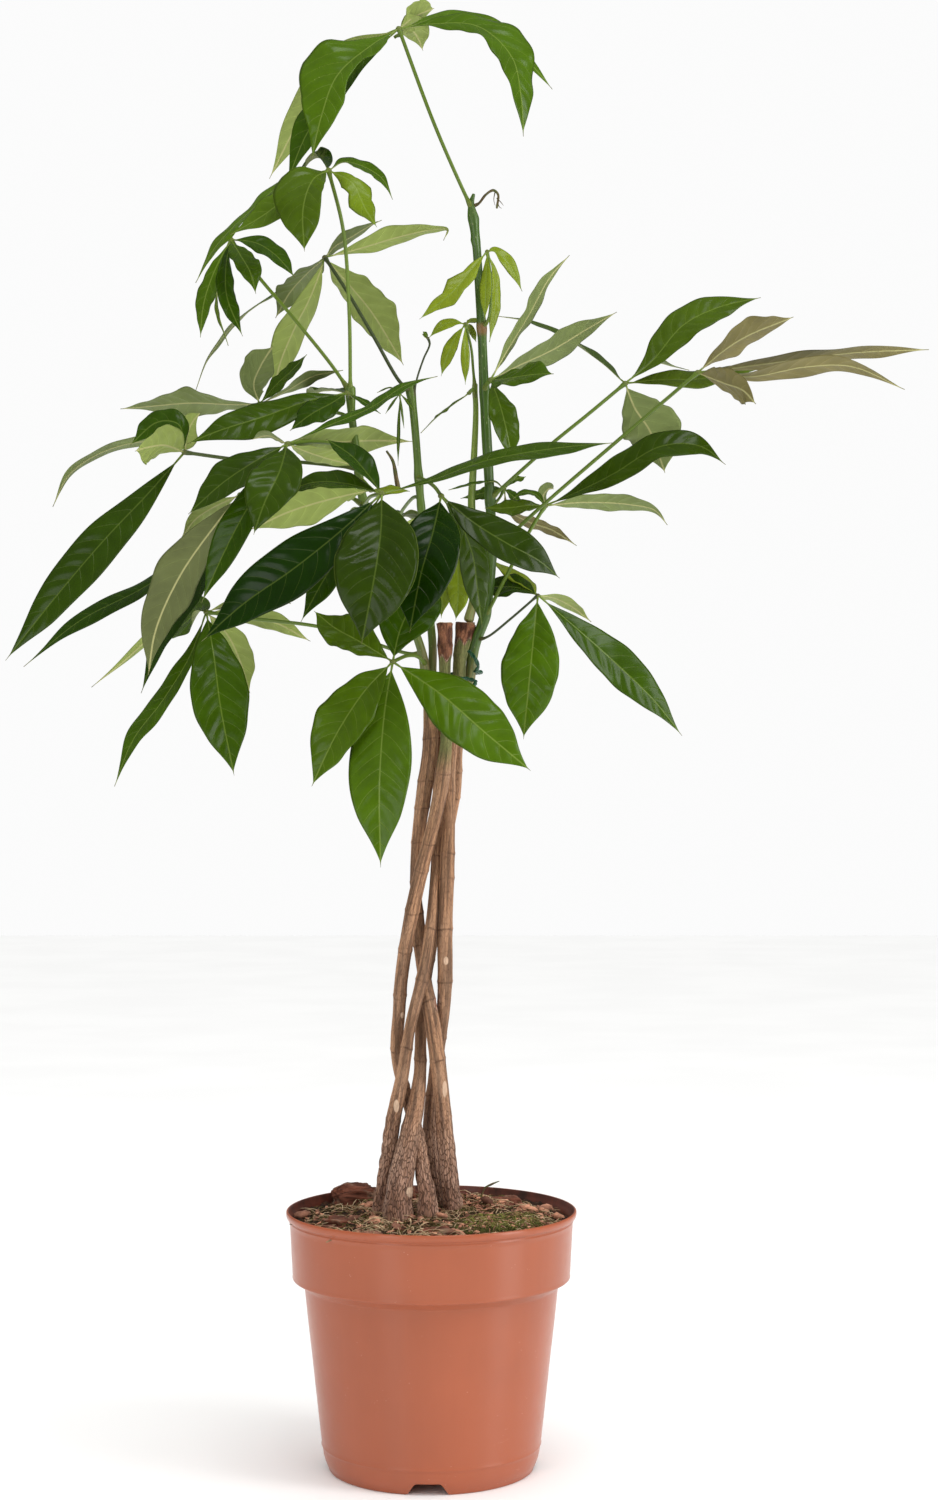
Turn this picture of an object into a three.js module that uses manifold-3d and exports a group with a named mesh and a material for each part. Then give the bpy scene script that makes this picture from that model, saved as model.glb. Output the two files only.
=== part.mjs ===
// A young money tree in a plastic nursery pot: five woody trunks braided round each other, green shoots
// from their tops, and compound leaves that spread like the fingers of a hand. Millimetres, +Z up, origin
// at the middle of the pot's underside. The tree's points are written as they are seen from straight in
// front, and a depth pushes each one away from the viewer (positive) or towards the viewer (negative).

import * as THREE from 'three';
import { mergeVertices } from 'three/addons/utils/BufferGeometryUtils.js';
import Module from 'manifold-3d';

const wasm = await Module();
wasm.setup();

// ---------------------------------------------------------------------------------------------
// Driving dimensions
// ---------------------------------------------------------------------------------------------

const VIEW = { x: 31, distance: 2000, height: 563 }; // where the tree's points are seen from

const GAP = 0.3; // clearance between pieces that touch
const WELD = 1e-4; // corners closer than this are one
const ROUND = 30; // facets round the pot

const POT = {
  lipRadius: 120,
  lipTop: 212,
  lipBottom: 204.5,
  lipFace: 5, // height of the lip's rounded top
  lipBevel: 1,
  lipWidth: 4.4,
  collarTopRadius: 116.8,
  collarRadius: 114.4,
  collarBottom: 158.6,
  neckRadius: 104.6,
  neckHeight: 150,
  heelRadius: 89,
  heelHeight: 13,
  footRadius: 84.5,
  footWidth: 4.5,
  discRadius: 44, // the middle of the floor stands on the ground
  channelStart: 50, // round it runs a raised channel that the drain holes open into
  channelHeight: 10.5,
  floor: 3,
  wall: 2.4,
  draft: 1, // how far each turn of the floor leans
  archCount: 4, // openings in the foot ring
  archWidth: 36,
  archHeight: 9.8,
  archShoulder: 9,
  archTurn: -91, // degrees from +X to the arch that faces the viewer
  archReach: 24,
  drainRadius: 7,
  drainCircle: 68,
  drainSides: 8,
};
const CUT_PAST = 1; // how far a cutter runs past the faces that it opens

const SOIL = {
  edge: 202.5, crown: 8, crownRadius: 70, bump: 2.2, slack: 0.4, dip: 2,
  rings: [104, 80, 52, 26],
};
// The soil's bumps are two crossed waves and a slanted one: radians to a millimetre, and where each starts.
const SOIL_WAVES = {
  x: 0.11, xStart: 1.3, y: 0.13, yStart: -0.4, slant: 0.23, slantStart: 2.1, slantShare: 0.6,
};

const BARK_SEED = 7000;
const BARK_UNEVEN = 0.18; // how far a corner of a chunk may be drawn in, as a share
const BARK_LUMPS = [
  // x, y, lowest point, length, width, height, turn in degrees
  [-66, 72, 196, 46, 30, 26, 12],
  [-28, 92, 198, 30, 22, 20, -20],
  [58, 42, 199, 36, 24, 16, 35],
  [-74, -34, 198, 32, 22, 13, -50],
  [6, -74, 198, 34, 20, 12, 8],
];

const MOSS = {
  x: 56, y: -44, top: 213.5, base: 199.5, long: 44, short: 30, turn: 38,
  bump: 1.6, xWaves: 5, yWaves: 4, waveStart: 2, segments: 12, rings: 6,
};

const TRUNK_FOOT = 150; // the trunks' lower ends, inside the soil
const FOOT_TAPER = 0.8; // how thick a lower end is, as a share of the foot
const TRUNK_SIDES = 8;
const SHOOT_SIDES = 6;
const THIN_SIDES = 5; // of petioles, dry stalks and the tie
const STEPS_PER_ROW = 1.2; // rings along a trunk or shoot for each of its rows

// A petiole is as thick as its leaf's widest leaflet asks: [leaflets up to this width, radius].
const PETIOLES = [[6, 0.8], [22, 1.1], [Infinity, 1.5]];
const KNOT = 2.2; // radius of the knot that joins the leaflets, in petiole radii

const BLADE = {
  thickness: 0.8,
  neckThickness: 1.1,
  neckWidth: 1.3,
  tipWidth: 0.9,
  petiolule: 0.05, // share of the length that is stalk
  fold: 14, // degrees that each half leans up from the midrib
  wave: 0.05,
  wavePhase: 2.4,
  foldedFrom: 25, // a narrower leaflet is flat
  skew: 1.1, // above 1, the widest place lies past the middle
  fullness: 0.9, // below 1, the sides are fuller than a sine arch
};

// Where a leaflet's sections lie along it: [leaflets up to this width, shares of the length].
const STATIONS = [
  [6, [0.5, 1]],
  [13, [0.15, 0.6, 1]],
  [25, [0.12, 0.45, 0.8, 1]],
  [Infinity, [0.1, 0.36, 0.64, 0.87, 1]],
];

// Five braided trunks: [x, z, depth, radius], from the foot up.
const TRUNKS = {
  trunk_left: [
    [-41, 205, -2, 8.5], [-40, 222, -2, 6.4], [-33, 273, -6, 6.1], [-24.6, 322, -12, 5.3],
    [-18, 358, -13, 4.7], [-8, 402, -13, 5.0], [-1, 440, -9, 4.6], [2.5, 478, -2, 4.3], [5, 515, 5, 4.3],
    [5, 552, 7, 4.3], [7, 600, 11, 4.4], [5, 640, 12, 4.4],
  ],
  trunk_front: [
    [-2, 205, -24, 8.6], [-3.5, 223, -21, 7.2], [-8, 248, -13, 6.0], [-12, 276, -4, 5.2],
    [-20, 304, 3, 5.0], [-27.5, 332, 3, 4.8], [-28.5, 352, 0, 5.2], [-27, 372, -3, 5.2],
    [-25, 402, -6, 5.2], [-17.5, 450, -9, 5.8], [-11, 480, -11, 5.6], [-1, 520, -12.5, 5.6],
    [6, 550, -12, 5.8], [10, 575, -11, 6.2], [12.5, 600, -10, 5.0], [11, 650, -8, 4.6],
    [11, 695.5, -8, 5.8],
  ],
  trunk_right: [
    [3, 205, 19, 8.0], [1.5, 232, 17, 6.0], [-1.5, 285, 13, 5.4], [2.5, 320, 11, 5.4], [6, 345, 9, 5.4],
    [9.3, 370, 5, 5.6], [10.5, 400, 0, 5.8], [11.8, 450, -3, 6.1], [13, 500, -4.5, 5.9],
    [14.4, 540, -2, 5.0], [15.4, 570, 3, 4.8], [17.6, 602, 4, 5.0], [22.6, 640, 3, 5.4],
    [23.5, 665, 3, 5.4], [28.5, 695.5, 3, 8.2],
  ],
  trunk_front_left: [
    [-27, 202, -23, 12.5], [-27, 222, -22, 11], [-23, 250, -20, 9.6], [-18, 273, -17, 8.0],
    [-12.5, 300, -9, 6.8], [-9.5, 324, -1, 5.2], [-9, 350, 5, 4.8], [-8, 376, 8, 4.8], [-3, 412, 9, 4.6],
    [2.6, 445, 10, 4.5], [7.4, 480, 11, 4.5], [13.4, 520, 13, 4.4], [20.2, 560, 15, 4.2],
    [22, 592, 15.5, 4.1], [27, 620, 15, 4.6], [31.5, 641, 13, 5.2],
  ],
  trunk_back_right: [
    [17.5, 205, 0, 10], [15.6, 224, 0, 8.2], [11, 275, -4, 6.6], [7, 320, -8, 6.4], [1.6, 361, -8, 6.9],
    [-4, 402, 1.5, 4.5], [-9.6, 445, 5.5, 4.4], [-13.2, 482, 6.5, 4.4], [-11.4, 520, 3.5, 4.9],
    [-7.2, 556, 0, 5.4], [-1.6, 592, -1, 5.6], [-1.6, 625, -1, 5.4], [-2.8, 650, -1, 6.2],
  ],
};

// Green shoots: [x, z, depth, radius], from the trunk up.
const SHOOTS = {
  shoot_main: [
    [31, 642, 11, 4.2], [35.4, 677, 5, 4.6], [43.5, 699, 1, 4.2], [47.6, 722, 0, 3.9], [50, 751, 0, 3.7],
    [48.6, 795, 0, 4.0], [45.6, 850, 0, 4.1], [43.6, 890, 0, 3.9], [41.6, 938, 0, 3.7], [39.4, 972, 0, 3.5],
    [37, 1008, 0, 3.5], [34.6, 1030, 0, 4.1], [33, 1043, 0, 2.4], [34.8, 1050, 0, 1.3],
  ],
  shoot_second: [
    [31, 699, 2, 4.4], [35, 716, 4, 3.9], [33.8, 760, 5, 3.4], [33.4, 800, 5, 3.1], [35.6, 840, 5, 2.6],
    [36.6, 870, 5, 2.3], [36.2, 893, 5, 2.2],
  ],
  shoot_left: [
    [-4.6, 653, -2, 4.4], [-8, 672, -3, 3.6], [-24, 715, -2, 3.4], [-46, 764, 0, 3.3], [-57.8, 804, 0, 3.2],
    [-62.4, 840, 0, 3.2], [-66, 868, 0, 3.2], [-67.2, 890, 0, 3.9],
  ],
  shoot_mid: [
    [0.6, 656, 2, 3.6], [1, 676, 4, 3.4], [-2.4, 715, 4, 3.1], [-6.4, 765, 2, 3.1], [-10.2, 812, 0, 3.1],
    [-13, 848, 0, 3.2], [-15.2, 872, 0, 3.2], [-18, 893, 0, 3.8],
  ],
};

const WITHERED_BUD = [
  [36, 1041, 0, 1.5], [39.4, 1043, -3, 1.1], [45, 1050, -8, 1.0], [51, 1053.5, -11, 1.1],
  [55, 1050, -13, 1.0], [54, 1039, -14, 0.9],
];
const DEAD_STALK = [[-27.2, 806, -4, 2.0], [-29, 815, -5, 1.9], [-32, 830, -7, 1.3], [-37, 838, -8, 0.9]];

// The tie that holds the braid's top: one wire, from its upper end round all the tops to its lower end.
const TIE = {
  radius: 1.1, x: 14.5, depth: 3.5, long: 26.5, short: 18.5, top: 656, bottom: 650,
  from: -35, sweep: 340, steps: 26,
};
const TIE_UPPER_END = [[31, 673, -14], [36.5, 666, -16], [38.5, 660, -13]];
const TIE_LOWER_END = [[36.5, 647.5, -13], [33, 642, -15]];

// Leaves. Each hangs on a shoot or trunk by its petiole, a list of [x, z, depth] from the stem to the hub.
// A leaflet is [width, tilt at its base, tilt at its tip, then points from the hub to the tip]. Tilt is how
// far its upper face turns from the viewer up to the sky: 0 faces the viewer, 90 the sky, 180 away.
const LEAVES = {
  leaf_crown: {
    petiole: [[33.6, 1038, 0], [25, 1056, -4], [2, 1109, -16], [-27, 1187, -30]],
    leaflets: [
      [44, 60, 25, [-50, 1173, -44], [-80, 1146, -60], [-94, 1112, -66], [-101, 1077, -64]],
      [30, 130, 150, [-74, 1166, -8], [-108, 1114, 14], [-134, 1063, 20]],
      [32, 40, 40, [-72, 1146, -18], [-104, 1098, -30], [-120, 1057, -32]],
      [38, 78, 35, [2, 1191, -34], [38, 1188, -40], [64, 1158, -48], [77, 1104, -52]],
      [26, 85, 70, [20, 1197, 6], [62, 1181, 18], [82, 1158, 22], [100, 1137, 22]],
      [28, 130, 140, [-14, 1197, 4], [2, 1204, 34]],
      [30, 150, 150, [-20, 1188, 4], [-12, 1181, 32], [-7, 1169, 50]],
    ],
  },
  leaf_upper_left: {
    petiole: [[-67, 886, 0], [-68, 953, -22], [-73, 1021, -46], [-85, 1070, -60]],
    leaflets: [
      [46, 45, 10, [-98, 1062, -84], [-107, 1038, -104], [-105, 1003, -110]],
      [22, 30, 20, [-66, 1060, -70], [-54, 1037, -74], [-45, 1023, -72]],
      [18, 75, 60, [-72, 1077, -44], [-52, 1071, -30], [-40, 1062, -24], [-32, 1046, -18]],
      [24, 70, 60, [-91, 1080, -36], [-99, 1079, -12], [-109, 1070, 10]],
      [26, 75, 65, [-118, 1062, -52], [-150, 1036, -44], [-178, 1007, -38], [-195, 977, -34]],
      [34, 60, 50, [-113, 1052, -74], [-140, 1032, -76], [-166, 1017, -72]],
    ],
  },
  leaf_far_upper_left: {
    petiole: [[-68.5, 889, 1], [-84, 911, 8], [-114, 948, 16], [-146, 986, 20], [-166, 1013, 14]],
    leaflets: [
      [26, 60, 50, [-145, 1010, 8], [-129, 1000, 2], [-113, 982, -2]],
      [24, 45, 30, [-158, 1000, -8], [-150, 986, -20], [-145, 968, -26]],
      [20, 45, 35, [-170, 990, -2], [-169, 965, -12], [-156, 933, -16]],
      [18, 40, 35, [-180, 985, 10], [-188, 960, 10], [-191, 932, 6]],
      [14, 82, 80, [-174, 990, 22], [-177, 958, 34], [-168, 925, 36]],
    ],
  },
  leaf_upper_mid: {
    petiole: [[-17, 889, 1], [-25, 894, 8], [-48, 933, 28], [-68, 967, 44], [-88, 998, 60]],
    leaflets: [
      [26, 125, 125, [-58, 1006, 68], [-28, 1015, 70], [0, 1021, 66], [13, 1021, 62], [10, 1012, 60]],
      [22, 115, 115, [-79, 1008, 80], [-65, 1016, 92], [-50, 1025, 98], [-41, 1029, 98]],
      [46, 140, 135, [-70, 978, 88], [-50, 954, 104], [-36, 932, 108], [-23, 909, 108]],
      [38, 120, 125, [-104, 984, 92], [-118, 968, 108], [-129, 948, 114]],
      [36, 140, 140, [-100, 966, 78], [-114, 938, 96], [-126, 908, 106], [-130, 884, 108]],
      [20, 100, 100, [-126, 971, 124], [-160, 946, 122], [-184, 916, 116], [-195, 888, 110]],
    ],
  },
  leaf_young_top: {
    petiole: [[42, 940, 0], [47, 947, -6], [49, 980, -12], [46, 1003, -15]],
    leaflets: [
      [19, 30, 15, [34, 989, -24], [20, 972, -32], [5, 959, -36], [-10, 947, -36]],
      [10, 20, 20, [45, 976, -22], [44, 946, -22]],
      [11, 30, 40, [52, 986, -6], [53, 965, -2], [48, 928, 1]],
      [12, 40, 40, [53, 1003, 0], [65, 991, 10], [75, 970, 14]],
    ],
  },
  leaf_young_mid: {
    petiole: [[36, 889, 5], [34.4, 906, 2], [33, 922, -2], [28, 943, -6]],
    leaflets: [
      [10, 40, 40, [18, 945, -14], [8, 941, -20], [-2, 932, -22]],
      [11, 15, 15, [19, 930, -10], [12, 914, -14], [8, 900, -14]],
      [8, 20, 20, [28, 922, -12], [28, 893, -13]],
      [7, 30, 30, [33, 938, 6], [37, 928, 11]],
      [7, 50, 50, [35, 946, 8], [47, 944, 16]],
    ],
  },
  leaf_young_left: {
    petiole: [[-16.5, 887, 0], [-20, 889, -5], [-26, 886, -10]],
    leaflets: [
      [3.2, 20, 20, [-27, 860, -15], [-27.7, 826, -17]],
      [2.6, 30, 30, [-24.6, 872, -13], [-22.6, 857, -13]],
      [2.6, 30, 30, [-32, 878, -13], [-38, 869, -13]],
      [3, 60, 60, [-34, 890.5, -9], [-45, 886.5, -9]],
      [3.2, 30, 30, [-20, 879, -10], [-13.5, 870, -9]],
    ],
  },
  leaf_bud: {
    petiole: [[-15, 881, -1], [-12.2, 897, -4], [-6.5, 914.4, -6], [-1.4, 926.6, -6], [-3, 931.4, -6]],
    leaflets: [
      [5, 40, 40, [-4.6, 934, -7], [-7, 937, -8]],
      [4, 100, 100, [-5.4, 932.6, -4], [-7.6, 935, -3]],
    ],
  },
  leaf_strip: {
    petiole: [[36.4, 882, 5], [34, 889, -1], [31, 886, -3]],
    leaflets: [[13, 85, 85, [18, 877, -8], [4, 866, -14], [-9, 853, -18]]],
  },
  leaf_right_high: {
    petiole: [[43.6, 887, 0], [45, 892, -5], [49, 897, -12]],
    leaflets: [
      [22, 125, 125, [60, 917, 0], [80, 950, 14], [98, 982, 24], [114, 1000, 28]],
      [34, 125, 125, [72, 909, 6], [100, 922, 20], [130, 940, 30], [153, 953, 34]],
      [36, 55, 65, [62, 898, -40], [82, 901, -62], [101, 902, -80]],
      [28, 35, 30, [56, 878, -28], [62, 855, -36], [67, 830, -38]],
    ],
  },
  leaf_right_fan: {
    petiole: [[49, 799, 0], [62, 811, -7], [98, 843, -8], [130, 869, -5], [160, 894, 0]],
    leaflets: [
      [26, 65, 100, [140, 912, 40], [110, 932, 68], [80, 945, 80], [53, 950, 82]],
      [38, 45, 45, [182, 912, 8], [208, 942, 18], [238, 957, 28], [272, 965, 32]],
      [20, 95, 95, [183, 911, 32], [200, 908, 50], [213, 905, 62]],
      [26, 50, 50, [190, 897, 26], [225, 898, 46], [255, 905, 58], [278, 907, 62]],
      [54, 145, 150, [168, 874, -4], [181, 854, 2], [193, 820, 14]],
    ],
  },
  leaf_far_right: {
    petiole: [[50, 753, 0], [72, 775, -24], [95, 796, -38], [160, 852, -42], [220, 903, -34]],
    leaflets: [
      [36, 125, 125, [241, 921, -28], [262, 934, -18], [299, 949, -8]],
      [30, 120, 120, [265, 909, -44], [310, 915, -50], [355, 920, -50], [411, 922, -46]],
      [32, 115, 115, [265, 900, -60], [310, 908, -72], [348, 908, -76], [391, 889, -76]],
      [36, 125, 130, [243, 894, -64], [258, 888, -88], [268, 877, -100]],
    ],
  },
  leaf_right_low: {
    petiole: [[44, 700, 0], [61, 733, -10], [80, 770, -16], [94, 793, -12]],
    leaflets: [
      [34, 50, 45, [120, 804, -22], [150, 819, -32], [190, 842, -40], [222, 842, -42], [243, 827, -42]],
      [20, 115, 110, [125, 796, 4], [165, 794, 12], [185, 789, 14], [195, 777, 14]],
      [20, 50, 50, [80, 793, -16], [62, 791, -18], [44, 791, -18]],
      [13, 60, 60, [86, 802, -6], [77, 804, -8], [67, 799, -9]],
      [16, 130, 130, [92, 801, 8], [97, 807, 22], [101, 807, 32]],
    ],
  },
  leaf_small_right: {
    petiole: [[48.6, 792, 2], [56, 799, 6], [60, 807, 4]],
    leaflets: [
      [11, 75, 75, [52, 813, -4], [30, 810, -11], [14, 806, -12]],
      [10, 60, 60, [68, 814, 6], [78, 817, 12]],
      [12, 50, 50, [68, 800, 16], [79, 790, 24]],
      [17, 60, 60, [46, 804, 16], [24, 799, 24]],
      [18, 120, 120, [64, 790, 20], [80, 780, 30], [100, 773, 34], [120, 760, 34]],
    ],
  },
  leaf_right_hanging: {
    petiole: [[38, 682, 3], [47, 685, -6], [66, 700, -20], [88, 719, -30]],
    leaflets: [
      [26, 40, 45, [72, 725, -8], [54, 726, 10], [34, 724, 18]],
      [20, 60, 60, [74, 731, 4], [58, 742, 18], [44, 751, 24]],
      [48, 12, 12, [84, 680, -50], [80, 640, -58], [76, 600, -54]],
      [34, 35, 35, [124, 688, -18], [152, 663, -6], [182, 634, 0], [207, 603, 4]],
      [20, 120, 120, [104, 716, 4], [120, 707, 24], [132, 697, 34]],
    ],
  },
  leaf_front_low: {
    petiole: [[-5, 662, -2], [-11, 668, -24], [-20, 669, -60], [-32, 664, -100]],
    leaflets: [
      [46, 28, 28, [-55, 640, -122], [-78, 605, -140], [-99, 561, -144]],
      [50, 10, 10, [-39, 620, -134], [-43, 560, -154], [-42, 494, -158]],
      [50, 20, 20, [8, 637, -112], [46, 604, -124], [82, 574, -124]],
      [50, 12, 12, [-26, 690, -94], [-14, 716, -88], [2, 742, -78]],
      [34, 32, 32, [-60, 681, -92], [-80, 692, -84], [-97, 706, -72]],
    ],
  },
  leaf_front_left: {
    petiole: [[-57, 794, 0], [-57, 791, -30], [-51, 800, -90], [-41, 803, -150]],
    leaflets: [
      [47, 25, 25, [-75, 772, -168], [-115, 740, -176], [-155, 712, -172], [-190, 681, -160]],
      [64, 8, 8, [-42, 770, -182], [-47, 735, -200], [-58, 678, -202]],
      [28, 50, 50, [-52, 818, -140], [-66, 834, -130], [-87, 848, -120]],
      [28, 60, 60, [-70, 811, -136], [-98, 812, -122], [-122, 803, -110]],
      [30, 65, 65, [0, 814, -134], [45, 830, -110], [100, 840, -80], [150, 845, -54]],
      [30, 40, 40, [-60, 772, -140], [-85, 738, -138], [-108, 697, -130]],
    ],
  },
  leaf_front_mid: {
    petiole: [[-10.6, 816, 0], [-5, 814, -30], [3, 808, -86], [8, 801, -120]],
    leaflets: [
      [44, 15, 15, [0, 770, -150], [-11, 735, -168], [-17, 688, -172]],
      [36, 28, 25, [35, 779, -130], [62, 762, -128], [88, 748, -120], [106, 733, -110]],
      [26, 20, 20, [21, 782, -104], [30, 755, -92], [35, 725, -86], [42, 698, -80]],
    ],
  },
  leaf_small_mid: {
    petiole: [[33.8, 764, 5], [30, 768, -14], [25, 763, -38], [22, 757, -52]],
    leaflets: [
      [19, 12, 12, [22, 735, -60], [22, 715, -60], [20, 698, -56]],
      [17, 30, 30, [14, 735, -50], [9, 715, -46], [8, 700, -42]],
    ],
  },
  leaf_left_fan: {
    petiole: [[-62, 836, 0], [-72, 842, -24], [-98, 846, -76], [-119, 844, -112]],
    leaflets: [
      [34, 40, 40, [-145, 830, -126], [-172, 812, -134], [-201, 786, -136]],
      [42, 22, 20, [-126, 820, -146], [-138, 795, -162], [-147, 769, -166]],
      [30, 35, 30, [-142, 808, -116], [-166, 765, -116], [-190, 713, -108]],
      [20, 68, 65, [-90, 857, -112], [-50, 874, -98], [-20, 893, -82], [5, 900, -74]],
      [34, 140, 140, [-98, 847, -66], [-76, 846, -16], [-44, 847, 22], [-14, 846, 36]],
      [26, 125, 125, [-98, 836, -80], [-78, 830, -54], [-60, 826, -40]],
      [14, 115, 115, [-135, 851, -84], [-148, 848, -62]],
    ],
  },
  leaf_left_long: {
    petiole: [[-66.6, 882, 0], [-67.6, 885, -8], [-70, 886, -16]],
    leaflets: [
      [34, 42, 40, [-100, 880, -30], [-140, 866, -44], [-175, 855, -52], [-202, 844, -56]],
      [28, 45, 40, [-82, 878, -34], [-100, 868, -44], [-117, 855, -50]],
      [12, 70, 70, [-58, 880, -14], [-42, 869, -10]],
      [30, 95, 95, [-78, 888, 12], [-90, 888, 56], [-104, 882, 92]],
    ],
  },
  leaf_far_left: {
    petiole: [[-61, 824, 0], [-110, 829, -8], [-150, 830, -16], [-204, 837, -20]],
    leaflets: [
      [40, 140, 140, [-220, 843, -48], [-236, 841, -70], [-245, 838, -80]],
      [24, 45, 40, [-209, 860, -10], [-226, 862, -4], [-249, 843, 2]],
      [22, 120, 115, [-240, 846, 26], [-275, 836, 34], [-300, 818, 34], [-313, 792, 32]],
      [39, 25, 25, [-235, 802, -38], [-270, 765, -50], [-310, 718, -56], [-352, 665, -54]],
      [22, 140, 140, [-202, 852, 4], [-197, 863, 16], [-191, 870, 26]],
    ],
  },
  leaf_left_back: {
    petiole: [[-65.4, 862, 0], [-72, 868, 10], [-110, 874, 34], [-142, 877, 52]],
    leaflets: [
      [38, 115, 120, [-168, 877, 66], [-200, 878, 84], [-235, 875, 92], [-257, 873, 94]],
      [38, 140, 140, [-147, 893, 58], [-141, 909, 62], [-131, 925, 62]],
      [24, 60, 60, [-128, 893, 38], [-114, 906, 34], [-103, 918, 32]],
      [22, 110, 110, [-120, 888, 48], [-98, 900, 44], [-73, 905, 38]],
    ],
  },
  leaf_lower_left: {
    petiole: [[-57, 794, 0], [-70, 801, 6], [-110, 804, 4], [-158, 802, -8]],
    leaflets: [
      [44, 145, 145, [-178, 778, -26], [-208, 735, -36], [-228, 690, -36], [-234, 653, -30]],
      [19, 130, 130, [-180, 792, 10], [-196, 781, 22], [-207, 766, 28]],
      [25, 62, 60, [-198, 752, 20], [-240, 724, 34], [-290, 698, 40], [-337, 660, 38]],
      [18, 130, 130, [-196, 726, 46], [-246, 672, 62], [-281, 643, 62]],
      [34, 42, 40, [-190, 735, 4], [-220, 690, 4], [-240, 638, 6]],
    ],
  },
  leaf_low_left: {
    petiole: [[-7.6, 671, -2], [-20, 671, 8], [-88, 692, 22], [-150, 700, 30], [-186, 705, 30]],
    leaflets: [
      [26, 50, 50, [-200, 668, 20], [-222, 632, 12], [-246, 600, 6], [-262, 561, 2]],
      [50, 15, 15, [-180, 670, 4], [-174, 625, -8], [-163, 570, -8]],
      [32, 140, 140, [-168, 686, 52], [-157, 662, 66], [-150, 638, 68]],
      [24, 140, 140, [-158, 703, 56], [-128, 696, 64], [-100, 681, 64]],
      [20, 120, 120, [-160, 715, 60], [-138, 718, 76], [-116, 712, 84]],
      [34, 60, 50, [-192, 706, 66], [-206, 694, 100], [-224, 682, 122]],
    ],
  },
  leaf_pale_left: {
    petiole: [[-60, 814, 0], [-56, 813, -8], [-50, 806, -16]],
    leaflets: [
      [40, 140, 140, [-82, 799, -30], [-118, 788, -40], [-150, 773, -42]],
      [22, 120, 120, [-70, 801, -16], [-92, 793, -12]],
      [18, 60, 60, [-34, 806, -34], [-18, 805, -40]],
    ],
  },
  leaf_back: {
    petiole: [[-8.6, 792, 0], [-12, 800, 20], [-22, 792, 80], [-32, 775, 125]],
    leaflets: [
      [44, 100, 130, [-52, 768, 150], [-74, 750, 176], [-88, 726, 192]],
      [46, 130, 150, [-28, 756, 150], [-24, 736, 174], [-20, 704, 184]],
      [38, 100, 120, [-10, 778, 148], [8, 772, 172], [22, 756, 188]],
      [34, 80, 90, [-48, 788, 150], [-62, 788, 176], [-72, 780, 198]],
      [30, 95, 95, [-24, 784, 155], [-16, 782, 185], [-8, 772, 206]],
    ],
  },
};

// ---------------------------------------------------------------------------------------------
// Materials
// ---------------------------------------------------------------------------------------------

function matt(color, roughness) {
  return new THREE.MeshStandardMaterial({ color, roughness, metalness: 0 });
}

const MATERIALS = {
  pot: matt(0xb0624a, 0.42),
  soil: matt(0x3a2a1f, 0.95),
  bark: matt(0x5a3a2a, 0.9),
  moss: matt(0x6d7030, 0.95),
  trunk: matt(0xa07a58, 0.8),
  shoot: matt(0x4c6b3a, 0.5),
  leaf: matt(0x2f5a12, 0.4),
  tie: matt(0x123f24, 0.35),
  dry: matt(0x5d4a33, 0.85),
};

// ---------------------------------------------------------------------------------------------
// Solids
// ---------------------------------------------------------------------------------------------

/** A closed geometry as a solid that can be cut and joined. */
function solidOf(geometry) {
  const whole = welded(geometry);
  const mesh = new wasm.Mesh({
    numProp: 3,
    vertProperties: new Float32Array(whole.attributes.position.array),
    triVerts: new Uint32Array(whole.index.array),
  });
  return new wasm.Manifold(mesh);
}

/** A geometry whose faces share their corners. */
function welded(geometry) {
  geometry.deleteAttribute('normal');
  geometry.deleteAttribute('uv');
  return mergeVertices(geometry, WELD);
}

/** A solid as a geometry with one triangle list. */
function geometryOf(solid) {
  const mesh = solid.getMesh();
  const geometry = new THREE.BufferGeometry();
  geometry.setAttribute('position', new THREE.BufferAttribute(mesh.vertProperties, 3));
  geometry.setIndex(new THREE.BufferAttribute(mesh.triVerts, 1));
  geometry.computeVertexNormals();
  return geometry;
}

/** The solids joined into one. */
function joined(solids) {
  return solids.reduce((whole, next) => whole.add(next));
}

/** A solid with the others cut away, and any scrap that the cuts leave loose dropped. */
function cutBy(solid, cutters) {
  const cut = cutters.reduce((rest, cutter) => rest.subtract(cutter), solid);
  const pieces = cut.decompose();
  return pieces.reduce((largest, piece) => (piece.volume() > largest.volume() ? piece : largest));
}

/** Rings of points joined into a closed skin, with a fan over each end. A ring is an array of Vector3. */
function skin(rings, sameDiagonal) {
  const sides = rings[0].length;
  const points = rings.flat();
  const faces = [];
  for (let i = 0; i < rings.length - 1; i += 1) {
    for (let k = 0; k < sides; k += 1) {
      const next = (k + 1) % sides;
      const a = i * sides + k;
      const b = i * sides + next;
      const c = (i + 1) * sides + next;
      const d = (i + 1) * sides + k;
      if (sameDiagonal(k)) faces.push(a, b, c, a, c, d);
      else faces.push(a, b, d, b, c, d);
    }
  }
  const last = (rings.length - 1) * sides;
  for (let k = 1; k < sides - 1; k += 1) {
    faces.push(0, k + 1, k);
    faces.push(last, last + k, last + k + 1);
  }
  const geometry = new THREE.BufferGeometry();
  geometry.setAttribute('position', new THREE.Float32BufferAttribute(points.flatMap((p) => p.toArray()), 3));
  geometry.setIndex(faces);
  return outward(geometry);
}

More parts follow.
